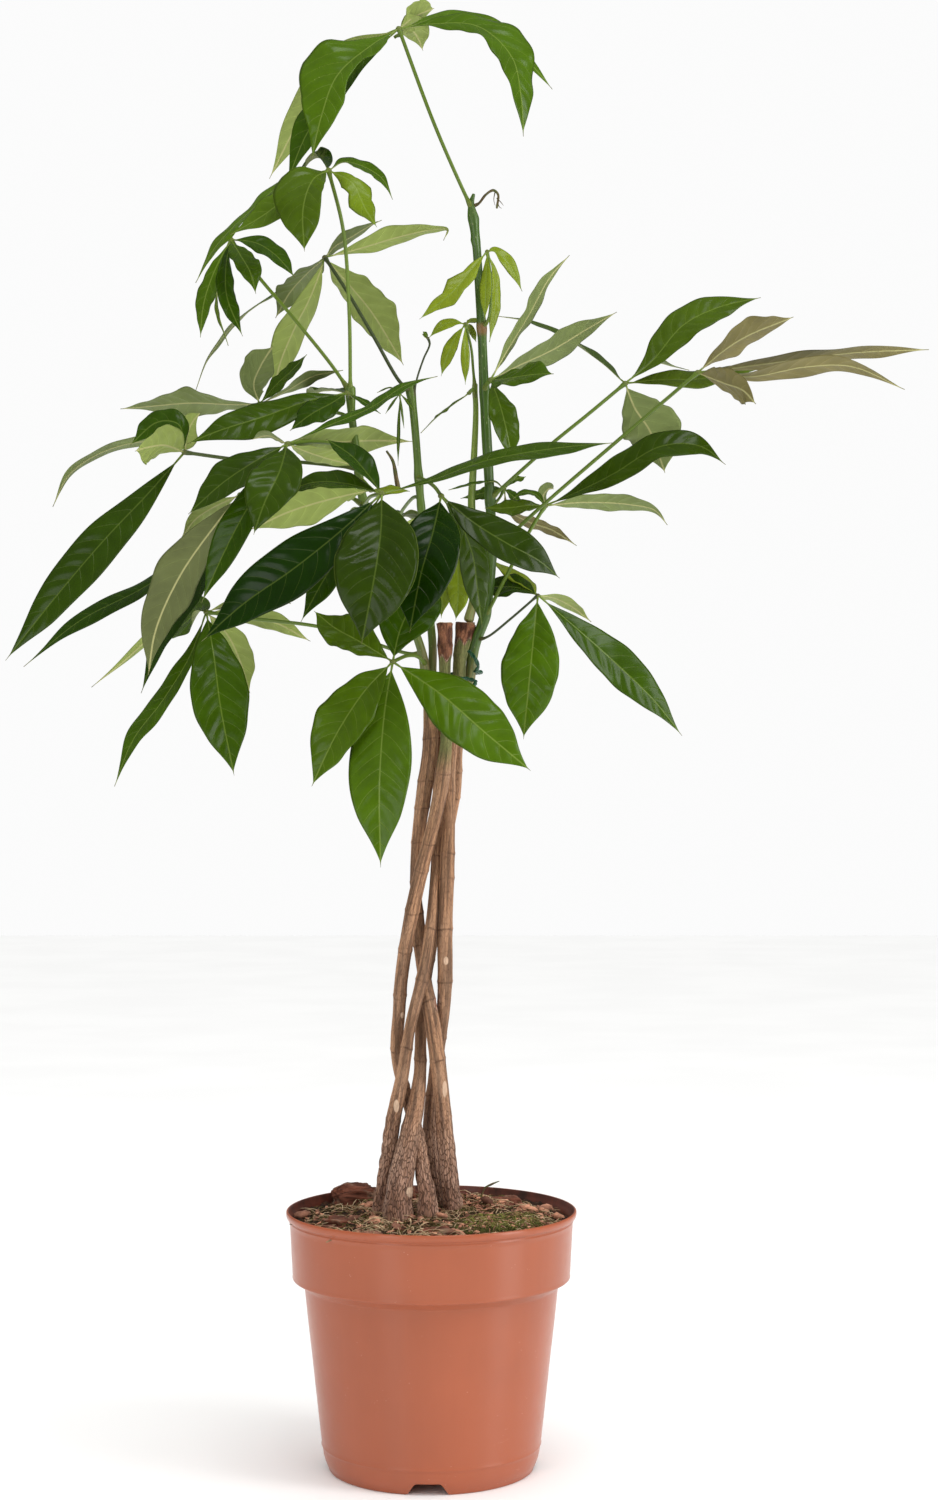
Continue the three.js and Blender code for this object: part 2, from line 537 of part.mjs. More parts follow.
/** The geometry with its faces turned to point out of the solid. */
function outward(geometry) {
  const place = geometry.attributes.position;
  const index = geometry.index.array;
  const corners = [new THREE.Vector3(), new THREE.Vector3(), new THREE.Vector3()];
  let volume = 0;
  for (let i = 0; i < index.length; i += 3) {
    corners.forEach((corner, k) => corner.fromBufferAttribute(place, index[i + k]));
    volume += corners[0].dot(corners[1].clone().cross(corners[2]));
  }
  if (volume < 0) {
    for (let i = 0; i < index.length; i += 3) {
      [index[i], index[i + 1]] = [index[i + 1], index[i]];
    }
  }
  return geometry;
}

/** A point that is seen at x and z on the plane of the trunks, moved along its sight line to its depth. */
function seen([x, z, depth]) {
  const scale = (VIEW.distance + depth) / VIEW.distance;
  return new THREE.Vector3(VIEW.x + (x - VIEW.x) * scale, depth, VIEW.height + (z - VIEW.height) * scale);
}

function curveThrough(points) {
  return new THREE.CatmullRomCurve3(points.map(seen), false, 'centripetal');
}

/** A round stem along [x, z, depth, radius] rows. grow widens it and lengthens both its ends. */
function stem(rows, sides, steps, grow = 0) {
  const curve = curveThrough(rows);
  const frames = curve.computeFrenetFrames(steps, false);
  const rings = [];
  for (let i = 0; i <= steps; i += 1) {
    const u = i / steps;
    const along = curve.getUtoTmapping(u) * (rows.length - 1);
    const before = Math.min(Math.floor(along), rows.length - 2);
    const radius = THREE.MathUtils.lerp(rows[before][3], rows[before + 1][3], along - before) + grow;
    const centre = curve.getPointAt(u);
    if (i === 0) centre.addScaledVector(curve.getTangentAt(0), -grow);
    if (i === steps) centre.addScaledVector(curve.getTangentAt(1), grow);
    const ring = [];
    for (let k = 0; k < sides; k += 1) {
      const angle = (k / sides) * 2 * Math.PI;
      ring.push(
        centre.clone()
          .addScaledVector(frames.normals[i], radius * Math.cos(angle))
          .addScaledVector(frames.binormals[i], radius * Math.sin(angle)),
      );
    }
    rings.push(ring);
  }
  return solidOf(skin(rings, () => true));
}

// ---------------------------------------------------------------------------------------------
// Pot, soil and what lies on it
// ---------------------------------------------------------------------------------------------

/** A profile of [radius, height] turned round the Z axis. */
function turned(profile) {
  const points = profile.map(([radius, height]) => new THREE.Vector2(radius, height));
  const geometry = new THREE.LatheGeometry(points, ROUND);
  geometry.rotateX(Math.PI / 2);
  return solidOf(outward(welded(geometry)));
}

/** The pot's inside, from the middle of its floor up to under the lip, as [radius, height]. */
function inside(inset) {
  const channel = POT.channelHeight + POT.floor + inset;
  return [
    [POT.discRadius - POT.draft - inset, POT.floor + inset],
    [POT.channelStart - POT.draft - inset, channel],
    [POT.heelRadius - POT.wall - inset, channel],
    [POT.neckRadius - POT.wall - inset, POT.neckHeight],
    [POT.collarRadius - POT.wall - inset, POT.collarBottom],
    [POT.collarTopRadius - POT.wall - inset, POT.lipBottom],
  ];
}

function makePot() {
  const p = POT;
  const innerFoot = p.footRadius - p.footWidth;
  const underside = [
    [0, 0], [p.discRadius, 0], [p.channelStart, p.channelHeight], [innerFoot - p.draft, p.channelHeight],
    [innerFoot, 0],
  ];
  const outerWall = [
    [p.footRadius, 0], [p.heelRadius, p.heelHeight], [p.neckRadius, p.neckHeight],
    [p.collarRadius, p.collarBottom], [p.collarTopRadius, p.lipBottom],
  ];
  const lip = [
    [p.lipRadius, p.lipTop - p.lipFace], [p.lipRadius - p.lipBevel, p.lipTop - p.lipBevel],
    [p.lipRadius - p.lipWidth, p.lipTop],
  ];
  const shell = turned([...underside, ...outerWall, ...lip, ...inside(0).reverse(), [0, p.floor]]);

  const openings = [];
  for (let i = 0; i < p.archCount; i += 1) {
    const angle = THREE.MathUtils.degToRad(p.archTurn + (360 / p.archCount) * i);
    openings.push(solidOf(archCutter().rotateZ(angle)), solidOf(drainCutter().rotateZ(angle)));
  }
  return cutBy(shell, openings);
}

/** The space that one drain hole takes out of the channel, on +X. */
function drainCutter() {
  const length = 2 * (POT.channelHeight - CUT_PAST);
  const geometry = new THREE.CylinderGeometry(POT.drainRadius, POT.drainRadius, length, POT.drainSides);
  return geometry.rotateX(Math.PI / 2).translate(POT.drainCircle, 0, POT.channelHeight);
}

/** The space that one arch takes out of the foot ring, on +X. */
function archCutter() {
  const { archWidth, archHeight, archShoulder, archReach } = POT;
  const half = archWidth / 2;
  const outline = new THREE.Shape([
    new THREE.Vector2(-half, -CUT_PAST),
    new THREE.Vector2(half, -CUT_PAST),
    new THREE.Vector2(half - archShoulder / 2, archHeight - archShoulder / 2),
    new THREE.Vector2(half - archShoulder, archHeight),
    new THREE.Vector2(archShoulder - half, archHeight),
    new THREE.Vector2(archShoulder / 2 - half, archHeight - archShoulder / 2),
  ]);
  const geometry = new THREE.ExtrudeGeometry(outline, { depth: archReach, bevelEnabled: false });
  return geometry.rotateX(Math.PI / 2).rotateZ(Math.PI / 2).translate(POT.footRadius - archReach / 2, 0, 0);
}

/** Height of the soil's surface at a point: a low mound with bumps. */
function soilHeight(x, y) {
  const radius = Math.hypot(x, y);
  const mound = SOIL.crown * Math.exp(-((radius / SOIL.crownRadius) ** 2));
  const w = SOIL_WAVES;
  const crossed = Math.sin(x * w.x + w.xStart) * Math.cos(y * w.y + w.yStart);
  const slanted = w.slantShare * Math.sin((x + y) * w.slant + w.slantStart);
  return SOIL.edge + mound + SOIL.bump * (crossed + slanted);
}

function makeSoil() {
  const wall = inside(GAP);
  const [topRadius] = wall.pop();
  const points = [[0, 0, wall[0][1]]];
  const ringOf = (radius, height) => {
    for (let k = 0; k < ROUND; k += 1) {
      // the lathe's own seam and sense of turning, so that the facets lie along the pot's
      const angle = (k / ROUND) * 2 * Math.PI - Math.PI / 2;
      const x = radius * Math.cos(angle);
      const y = radius * Math.sin(angle);
      points.push([x, y, height(x, y)]);
    }
  };
  wall.forEach(([radius, height]) => ringOf(radius, () => height));
  ringOf(topRadius - SOIL.slack, () => SOIL.edge - SOIL.dip);
  SOIL.rings.forEach((radius) => ringOf(radius, soilHeight));
  points.push([0, 0, soilHeight(0, 0)]);

  const faces = [];
  const ringCount = (points.length - 2) / ROUND;
  const at = (ring, k) => 1 + ring * ROUND + (k % ROUND);
  for (let k = 0; k < ROUND; k += 1) {
    faces.push(0, at(0, k), at(0, k + 1));
    for (let ring = 0; ring < ringCount - 1; ring += 1) {
      faces.push(at(ring, k), at(ring + 1, k), at(ring + 1, k + 1));
      faces.push(at(ring, k), at(ring + 1, k + 1), at(ring, k + 1));
    }
    faces.push(at(ringCount - 1, k), points.length - 1, at(ringCount - 1, k + 1));
  }
  const geometry = new THREE.BufferGeometry();
  geometry.setAttribute('position', new THREE.Float32BufferAttribute(points.flat(), 3));
  geometry.setIndex(faces);
  return solidOf(outward(geometry));
}

/** A repeatable random number from 0 to 1: each state is the last one times a factor, modulo a prime. */
function seededRandom(seed) {
  const factor = 16807;
  const prime = 2147483647;
  let state = seed;
  return () => {
    state = (state * factor) % prime;
    return state / prime;
  };
}

/** A rough chunk of bark. grow widens it all round. */
function barkLump([x, y, low, long, wide, high, turn], seed, grow) {
  const random = seededRandom(BARK_SEED + seed);
  const geometry = welded(new THREE.DodecahedronGeometry(1, 0));
  const place = geometry.attributes.position;
  const point = new THREE.Vector3();
  for (let i = 0; i < place.count; i += 1) {
    point.fromBufferAttribute(place, i).multiplyScalar(1 - BARK_UNEVEN * random());
    place.setXYZ(i, point.x * (long / 2 + grow), point.y * (wide / 2 + grow), point.z * (high / 2 + grow));
  }
  geometry.rotateZ(THREE.MathUtils.degToRad(turn));
  geometry.translate(x, y, low + high / 2);
  return solidOf(geometry);
}

/** A cushion of moss that sits in the soil. */
function mossCushion(grow) {
  const geometry = welded(new THREE.SphereGeometry(1, MOSS.segments, MOSS.rings));
  const place = geometry.attributes.position;
  const half = (MOSS.top - MOSS.base) / 2;
  for (let i = 0; i < place.count; i += 1) {
    const x = place.getX(i);
    const y = place.getY(i);
    const waves = Math.sin(MOSS.xWaves * x + MOSS.waveStart) * Math.cos(MOSS.yWaves * y);
    const bump = 1 + (MOSS.bump / half) * waves;
    place.setXYZ(i, x * (MOSS.long + grow), y * (MOSS.short + grow), place.getZ(i) * (half * bump + grow));
  }
  geometry.rotateZ(THREE.MathUtils.degToRad(MOSS.turn));
  geometry.translate(MOSS.x, MOSS.y, MOSS.base + half);
  return solidOf(geometry);
}

// ---------------------------------------------------------------------------------------------
// The tree
// ---------------------------------------------------------------------------------------------

/** A trunk's rows with its end carried down into the soil. */
function rooted(rows) {
  const [x, , depth, radius] = rows[0];
  return [[x, TRUNK_FOOT, depth, radius * FOOT_TAPER], ...rows];
}

/** What a table of [widths up to this, value] rows gives for a leaflet's width. */
function byWidth(table, width) {
  return table.find(([upTo]) => width <= upTo)[1];
}

/** How wide a leaflet is at a share of its length, from 0 to 1 of its width. */
function bladeShare(along) {
  const t = Math.max(0, (along - BLADE.petiolule) / (1 - BLADE.petiolule));
  return Math.sin(Math.PI * t ** BLADE.skew) ** BLADE.fullness;
}

/** One leaflet: a thin blade, folded a little along its midrib, waved at its margins. */
function leaflet(hub, start, [width, tiltBase, tiltTip, ...path], number) {
  const curve = curveThrough([hub, ...path]);
  const wide = width > BLADE.foldedFrom;
  const shares = [start / curve.getLength(), ...byWidth(STATIONS, width)];
  const viewer = new THREE.Vector3(VIEW.x, -VIEW.distance, VIEW.height);
  const chord = curve.getPointAt(1).sub(curve.getPointAt(0)).normalize();
  const skyward = skywardSide(chord, viewer.clone().sub(curve.getPointAt(0.5)));
  const fold = wide ? THREE.MathUtils.degToRad(BLADE.fold) : 0;
  const rings = shares.map((share, i) => {
    const centre = curve.getPointAt(share);
    const along = curve.getTangentAt(share);
    const tilt = THREE.MathUtils.lerp(tiltBase, tiltTip, share);
    const face = turnedFace(along, viewer.clone().sub(centre), skyward, tilt);
    const side = along.clone().cross(face).normalize();
    const half = Math.max(width * bladeShare(share), share < 0.5 ? BLADE.neckWidth : BLADE.tipWidth) / 2;
    const thick = (i === 0 ? BLADE.neckThickness : BLADE.thickness) / 2;
    const wave = BLADE.wave * 2 * half * Math.sin(i * BLADE.wavePhase + number);
    const edge = (sign, lift) => centre.clone()
      .addScaledVector(side, sign * half * Math.cos(fold))
      .addScaledVector(face, half * Math.sin(fold) + sign * wave + lift);
    const rib = (lift) => centre.clone().addScaledVector(face, lift);
    if (!wide) return [edge(-1, thick), edge(1, thick), edge(1, -thick), edge(-1, -thick)];
    return [edge(-1, thick), rib(thick), edge(1, thick), edge(1, -thick), rib(-thick), edge(-1, -thick)];
  });
  const upperFaces = wide ? 3 : 2;
  return solidOf(skin(rings, (k) => k < upperFaces));
}

/** Which way round the leaflet's own axis leads from the viewer to the sky: 1 or -1. */
function skywardSide(chord, toViewer) {
  const face = toViewer.addScaledVector(chord, -toViewer.dot(chord)).normalize();
  return chord.clone().cross(face).z >= 0 ? 1 : -1;
}

/** The upper face's direction at one point of a leaflet, tilted by degrees from the viewer to the sky. */
function turnedFace(along, toViewer, skyward, degrees) {
  const front = toViewer.addScaledVector(along, -toViewer.dot(along)).normalize();
  const up = along.clone().cross(front).multiplyScalar(skyward);
  const tilt = THREE.MathUtils.degToRad(degrees);
  return front.multiplyScalar(Math.cos(tilt)).addScaledVector(up, Math.sin(tilt));
}

/** A compound leaf: petiole, hub and leaflets in one piece, cut clear of the stems it meets. */
function compoundLeaf({ petiole, leaflets }, stemsWithGap) {
  const hub = petiole[petiole.length - 1];
  const widest = Math.max(...leaflets.map(([width]) => width));
  const radius = byWidth(PETIOLES, widest);
  const stalk = stem(petiole.map((row) => [...row, radius]), THIN_SIDES, petiole.length);
  const knotRadius = KNOT * radius;
  const knot = new THREE.OctahedronGeometry(knotRadius, 0).translate(...seen(hub).toArray());
  const blades = leaflets.map((row, number) => leaflet(hub, knotRadius / 2, row, number));
  return cutBy(joined([stalk, solidOf(knot), ...blades]), stemsWithGap);
}

/** The tie: a wire that comes down, runs once round the tops and hangs out in front. */
function tieWire() {
  const loop = [];
  for (let i = 0; i <= TIE.steps; i += 1) {
    const share = i / TIE.steps;
    const angle = THREE.MathUtils.degToRad(TIE.from + TIE.sweep * share);
    const x = TIE.x + TIE.long * Math.cos(angle);
    const depth = TIE.depth + TIE.short * Math.sin(angle);
    loop.push([x, THREE.MathUtils.lerp(TIE.top, TIE.bottom, share), depth]);
  }
  const rows = [...TIE_UPPER_END, ...loop, ...TIE_LOWER_END];
  return stem(rows.map((row) => [...row, TIE.radius]), THIN_SIDES, rows.length);
}

// ---------------------------------------------------------------------------------------------
// Assembly
// ---------------------------------------------------------------------------------------------

const tree = new THREE.Group();

function place(name, solid, material) {
  const mesh = new THREE.Mesh(geometryOf(solid), material);
  mesh.name = name;
  tree.add(mesh);
}

const stepsFor = (rows) => Math.round(rows.length * STEPS_PER_ROW);
const trunkSolid = (rows, grow) => stem(rooted(rows), TRUNK_SIDES, stepsFor(rows), grow);
const shootSolid = (rows, grow) => stem(rows, SHOOT_SIDES, stepsFor(rows), grow);

const trunkGaps = Object.values(TRUNKS).map((rows) => trunkSolid(rows, GAP));
const shootGaps = Object.values(SHOOTS).map((rows) => shootSolid(rows, GAP));

place('pot', makePot(), MATERIALS.pot);

const barkGaps = BARK_LUMPS.map((row, i) => barkLump(row, i, GAP));
place('soil', cutBy(makeSoil(), [...trunkGaps, ...barkGaps, mossCushion(GAP)]), MATERIALS.soil);
BARK_LUMPS.forEach((row, i) => {
  place(`bark_${i + 1}`, cutBy(barkLump(row, i, 0), trunkGaps), MATERIALS.bark);
});
place('moss', cutBy(mossCushion(0), [...trunkGaps, ...barkGaps]), MATERIALS.moss);

Object.entries(TRUNKS).forEach(([name, rows], i) => {
  place(name, cutBy(trunkSolid(rows, 0), trunkGaps.slice(0, i)), MATERIALS.trunk);
});

Object.entries(SHOOTS).forEach(([name, rows], i) => {
  const cutters = [...trunkGaps, ...shootGaps.slice(0, i)];
  place(name, cutBy(shootSolid(rows, 0), cutters), MATERIALS.shoot);
});

const drySolid = (rows) => stem(rows, THIN_SIDES, rows.length + 1);
place('withered_bud', cutBy(drySolid(WITHERED_BUD), shootGaps), MATERIALS.dry);
place('dead_stalk', cutBy(drySolid(DEAD_STALK), shootGaps), MATERIALS.dry);
place('tie_wire', cutBy(tieWire(), [...trunkGaps, ...shootGaps]), MATERIALS.tie);

Object.entries(LEAVES).forEach(([name, leaf]) => {
  place(name, compoundLeaf(leaf, [...trunkGaps, ...shootGaps]), MATERIALS.leaf);
});

export default tree;
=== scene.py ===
"""The looks of a potted money tree: a plastic nursery pot with potting mix, bark and moss in it, five braided
trunks tied at their tops, green shoots, and compound leaves that spread like the fingers of a hand.

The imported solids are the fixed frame. Every piece here is a surface worked out with numpy in that frame, in
metres, and stands for the solids that it replaces. The tree's points are written in millimetres as they are
seen from straight in front, with a depth that pushes each one away from the viewer or towards the viewer.
"""

import math

import bpy
import numpy as np
from bpy.props import FloatProperty, FloatVectorProperty, PointerProperty
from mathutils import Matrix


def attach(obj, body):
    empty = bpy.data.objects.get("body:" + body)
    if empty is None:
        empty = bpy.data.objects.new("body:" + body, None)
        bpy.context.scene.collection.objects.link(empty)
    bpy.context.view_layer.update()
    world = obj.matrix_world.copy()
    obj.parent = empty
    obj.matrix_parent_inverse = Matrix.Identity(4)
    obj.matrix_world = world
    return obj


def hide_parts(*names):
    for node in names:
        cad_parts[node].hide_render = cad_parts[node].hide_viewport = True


bl_info = {
    "name": "Potted money tree",
    "version": (1, 0, 0),
    "blender": (4, 5, 0),
    "location": "3D View > Sidebar > Money Tree",
    "description": "Builds the pot, soil, trunks, shoots and leaves of a braided money tree",
    "category": "Add Mesh",
}

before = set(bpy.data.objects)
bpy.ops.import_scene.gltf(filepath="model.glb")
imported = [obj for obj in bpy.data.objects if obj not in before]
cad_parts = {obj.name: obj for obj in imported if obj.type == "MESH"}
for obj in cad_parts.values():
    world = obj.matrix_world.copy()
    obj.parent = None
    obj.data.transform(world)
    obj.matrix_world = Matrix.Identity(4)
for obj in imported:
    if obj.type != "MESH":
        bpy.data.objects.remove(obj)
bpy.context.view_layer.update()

MM = 0.001
TURN = 2 * math.pi


# --- Sizes, in millimetres ---------------------------------------

VIEW_X, VIEW_DISTANCE, VIEW_HEIGHT = 31, 2000, 563  # where the tree's points are seen from

LIP_RADIUS, LIP_TOP, LIP_BOTTOM = 120, 212, 204.5
COLLAR_TOP_RADIUS, COLLAR_RADIUS, COLLAR_BOTTOM = 116.8, 114.4, 158.6
NECK_RADIUS, NECK_HEIGHT = 104.6, 150
HEEL_RADIUS, HEEL_HEIGHT = 89, 13
FOOT_RADIUS, FOOT_WIDTH = 84.5, 4.5
DISC_RADIUS, CHANNEL_START, CHANNEL_HEIGHT = 44, 50, 10.5
FLOOR, WALL = 3, 2.4
ARCH_COUNT, ARCH_WIDTH, ARCH_HEIGHT, ARCH_TURN = 4, 36, 9.8, -91
DRAIN_RADIUS, DRAIN_CIRCLE = 7, 68

SOIL_EDGE, SOIL_CROWN, SOIL_CROWN_RADIUS, SOIL_BUMP = 202.5, 8, 70, 2.2
SOIL_RADIUS = 113.6
SOIL_GAP, SOIL_SHOULDER = 0.4, 194  # clearance to the pot, and where the mix leaves its wall
HEAP_X, HEAP_Y, HEAP_REACH, HEAP_HEIGHT = 40, 22, 26, 9  # crumbs of bark heaped to the right of the trunks

# x, y, lowest point, length, width, height, turn in degrees
BARK_LUMPS = [
    (-66, 72, 196, 46, 30, 26, 12),
    (-28, 92, 198, 30, 22, 20, -20),
    (58, 42, 199, 36, 24, 16, 35),
    (-74, -34, 198, 32, 22, 13, -50),
    (6, -74, 198, 34, 20, 12, 8),
]

MOSS_X, MOSS_Y, MOSS_TOP, MOSS_BASE, MOSS_LONG, MOSS_SHORT, MOSS_TURN = 56, -44, 213.5, 199.5, 44, 30, 38
MOSS_SPREAD = 42  # how far scraps and strands lie over and round the moss

TRUNK_FOOT = 150  # the trunks' lower ends, inside the soil

# The trunks and shoots: x, z, depth and radius, from the foot up.
TRUNKS = {
    "trunk_left": [
        (-41, 205, -2, 8.5), (-40, 222, -2, 6.4), (-33, 273, -6, 6.1), (-24.6, 322, -12, 5.3),
        (-18, 358, -13, 4.7), (-8, 402, -13, 5), (-1, 440, -9, 4.6), (2.5, 478, -2, 4.3),
        (5, 515, 5, 4.3), (5, 552, 7, 4.3), (7, 600, 11, 4.4), (5, 640, 12, 4.4),
    ],
    "trunk_front": [
        (-2, 205, -24, 8.6), (-3.5, 223, -21, 7.2), (-8, 248, -13, 6), (-12, 276, -4, 5.2),
        (-20, 304, 3, 5), (-27.5, 332, 3, 4.8), (-28.5, 352, 0, 5.2), (-27, 372, -3, 5.2),
        (-25, 402, -6, 5.2), (-17.5, 450, -9, 5.8), (-11, 480, -11, 5.6), (-1, 520, -12.5, 5.6),
        (6, 550, -12, 5.8), (10, 575, -11, 6.2), (12.5, 600, -10, 5), (11, 650, -8, 4.6),
        (11, 695.5, -8, 6.6),
    ],
    "trunk_right": [
        (3, 205, 19, 8), (1.5, 232, 17, 6), (-1.5, 285, 13, 5.4), (2.5, 320, 11, 5.4), (6, 345, 9, 5.4),
        (9.3, 370, 5, 5.6), (10.5, 400, 0, 5.8), (11.8, 450, -3, 6.1), (13, 500, -4.5, 5.9),
        (14.4, 540, -2, 5), (15.4, 570, 3, 4.8), (17.6, 602, 4, 5), (22.6, 640, 3, 5.4),
        (23.5, 665, 3, 5.4), (28.5, 695.5, 3, 8.2),
    ],
    "trunk_front_left": [
        (-27, 202, -23, 12.5), (-27, 222, -22, 11), (-23, 250, -20, 9.6), (-18, 273, -17, 8),
        (-12.5, 300, -9, 6.8), (-9.5, 324, -1, 5.2), (-9, 350, 5, 4.8), (-8, 376, 8, 4.8),
        (-3, 412, 9, 4.6), (2.6, 445, 10, 4.5), (7.4, 480, 11, 4.5), (13.4, 520, 13, 4.4),
        (20.2, 560, 15, 4.2), (22, 592, 15.5, 4.1), (27, 620, 15, 4.6), (31.5, 641, 13, 5.2),
    ],
    "trunk_back_right": [
        (17.5, 205, 0, 10), (15.6, 224, 0, 8.2), (11, 275, -4, 6.6), (7, 320, -8, 6.4),
        (1.6, 361, -8, 6.9), (-5.4, 402, 1.5, 5.2), (-11, 445, 5.5, 5.2), (-13.2, 482, 6.5, 4.6),
        (-11, 520, 3.5, 5.3), (-6.4, 556, 0, 6.3), (-1.6, 592, -1, 6.0), (-1.6, 625, -1, 5.4),
        (-2.8, 650, -1, 6.2),
    ],
}

SHOOTS = {
    "shoot_main": [
        (31, 642, 11, 4.2), (35.4, 677, 5, 4.6), (43.5, 699, 1, 4.2), (47.6, 722, 0, 3.9),
        (50, 751, 0, 3.7), (48.6, 795, 0, 4), (45.6, 850, 0, 4.1), (43.6, 890, 0, 3.9),
        (41.6, 938, 0, 3.7), (39.4, 972, 0, 3.5), (37, 1008, 0, 3.5), (34.6, 1030, 0, 4.1),
        (33, 1043, 0, 2.4), (34.8, 1050, 0, 1.3),
    ],
    "shoot_second": [
        (31, 699, 2, 4.4), (35, 716, 4, 3.9), (33.8, 760, 5, 3.4), (33.4, 800, 5, 3.1),
        (35.6, 840, 5, 2.6), (36.6, 870, 5, 2.3), (36.2, 893, 5, 2.2),
    ],
    "shoot_left": [
        (-4.6, 653, -2, 4.4), (-8, 672, -3, 3.6), (-24, 715, -2, 3.4), (-46, 764, 0, 3.3),
        (-57.8, 804, 0, 3.2), (-62.4, 840, 0, 3.2), (-66, 868, 0, 3.2), (-67.2, 890, 0, 3.9),
    ],
    "shoot_mid": [
        (0.6, 656, 2, 3.6), (1, 676, 4, 3.4), (-2.4, 715, 4, 3.1), (-6.4, 765, 2, 3.1),
        (-10.2, 812, 0, 3.1), (-13, 848, 0, 3.2), (-15.2, 872, 0, 3.2), (-18, 893, 0, 3.8),
    ],
}

WITHERED_BUD = [
    (36, 1041, 0, 1.5), (39.4, 1043, -3, 1.1), (45, 1050, -8, 1.0), (51, 1053.5, -11, 1.1),
    (55, 1050, -13, 1.0), (54, 1039, -14, 0.9),
]
BUD_THREADS = [
    [(54, 1047, -13.5, 0.5), (57, 1044, -14, 0.35), (59.5, 1041, -14, 0.15)],
    [(54.5, 1044, -14, 0.5), (56, 1040, -14, 0.3), (58, 1038.5, -14, 0.12)],
    [(52.5, 1052, -12, 0.5), (51.5, 1046, -13, 0.3), (52.5, 1041, -13, 0.15)],
]
DEAD_STALK = [(-27.2, 806, -4, 2.0), (-29, 815, -5, 1.9), (-32, 830, -7, 1.3), (-37, 838, -8, 0.9)]
TWIG = [(40, 218, 24, 0.9), (44, 229, 24, 0.8), (50, 232.5, 23, 0.9), (56, 235, 22, 0.4)]

# The tie: one wire, from its upper end round all the tops to its lower end.
TIE_X, TIE_DEPTH, TIE_LONG, TIE_SHORT = 14.5, 3.5, 26.5, 18.5
TIE_TOP, TIE_BOTTOM, TIE_FROM, TIE_SWEEP = 656, 650, -35, 340
TIE_UPPER_END = [(31, 673, -14), (36.5, 666, -16), (38.5, 660, -13)]
TIE_LOWER_END = [(36.5, 647.5, -13), (33, 642, -15)]
TIE_RADIUS = 1.5

# The finish of a leaflet: how light its green is, which also darkens the undersides of dark leaflets as
# painted shade, how yellow it is, and how olive its underside is.
SHADES = {
    "night": (0.0, 0.0, 0.3),
    "dark": (0.22, 0.0, 0.3),
    "deep": (0.48, 0.02, 0.2),
    "mid": (0.6, 0.06, 0.2),
    "bright": (0.85, 0.1, 0.1),
    "lime": (1.0, 0.85, 0.3),
    "fresh": (1.0, 0.45, 0.2),
    "grey": (0.4, 0.1, 0.1),
    "olive": (0.4, 0.2, 1.0),
    "pale": (0.95, 0.3, 0.2),
}

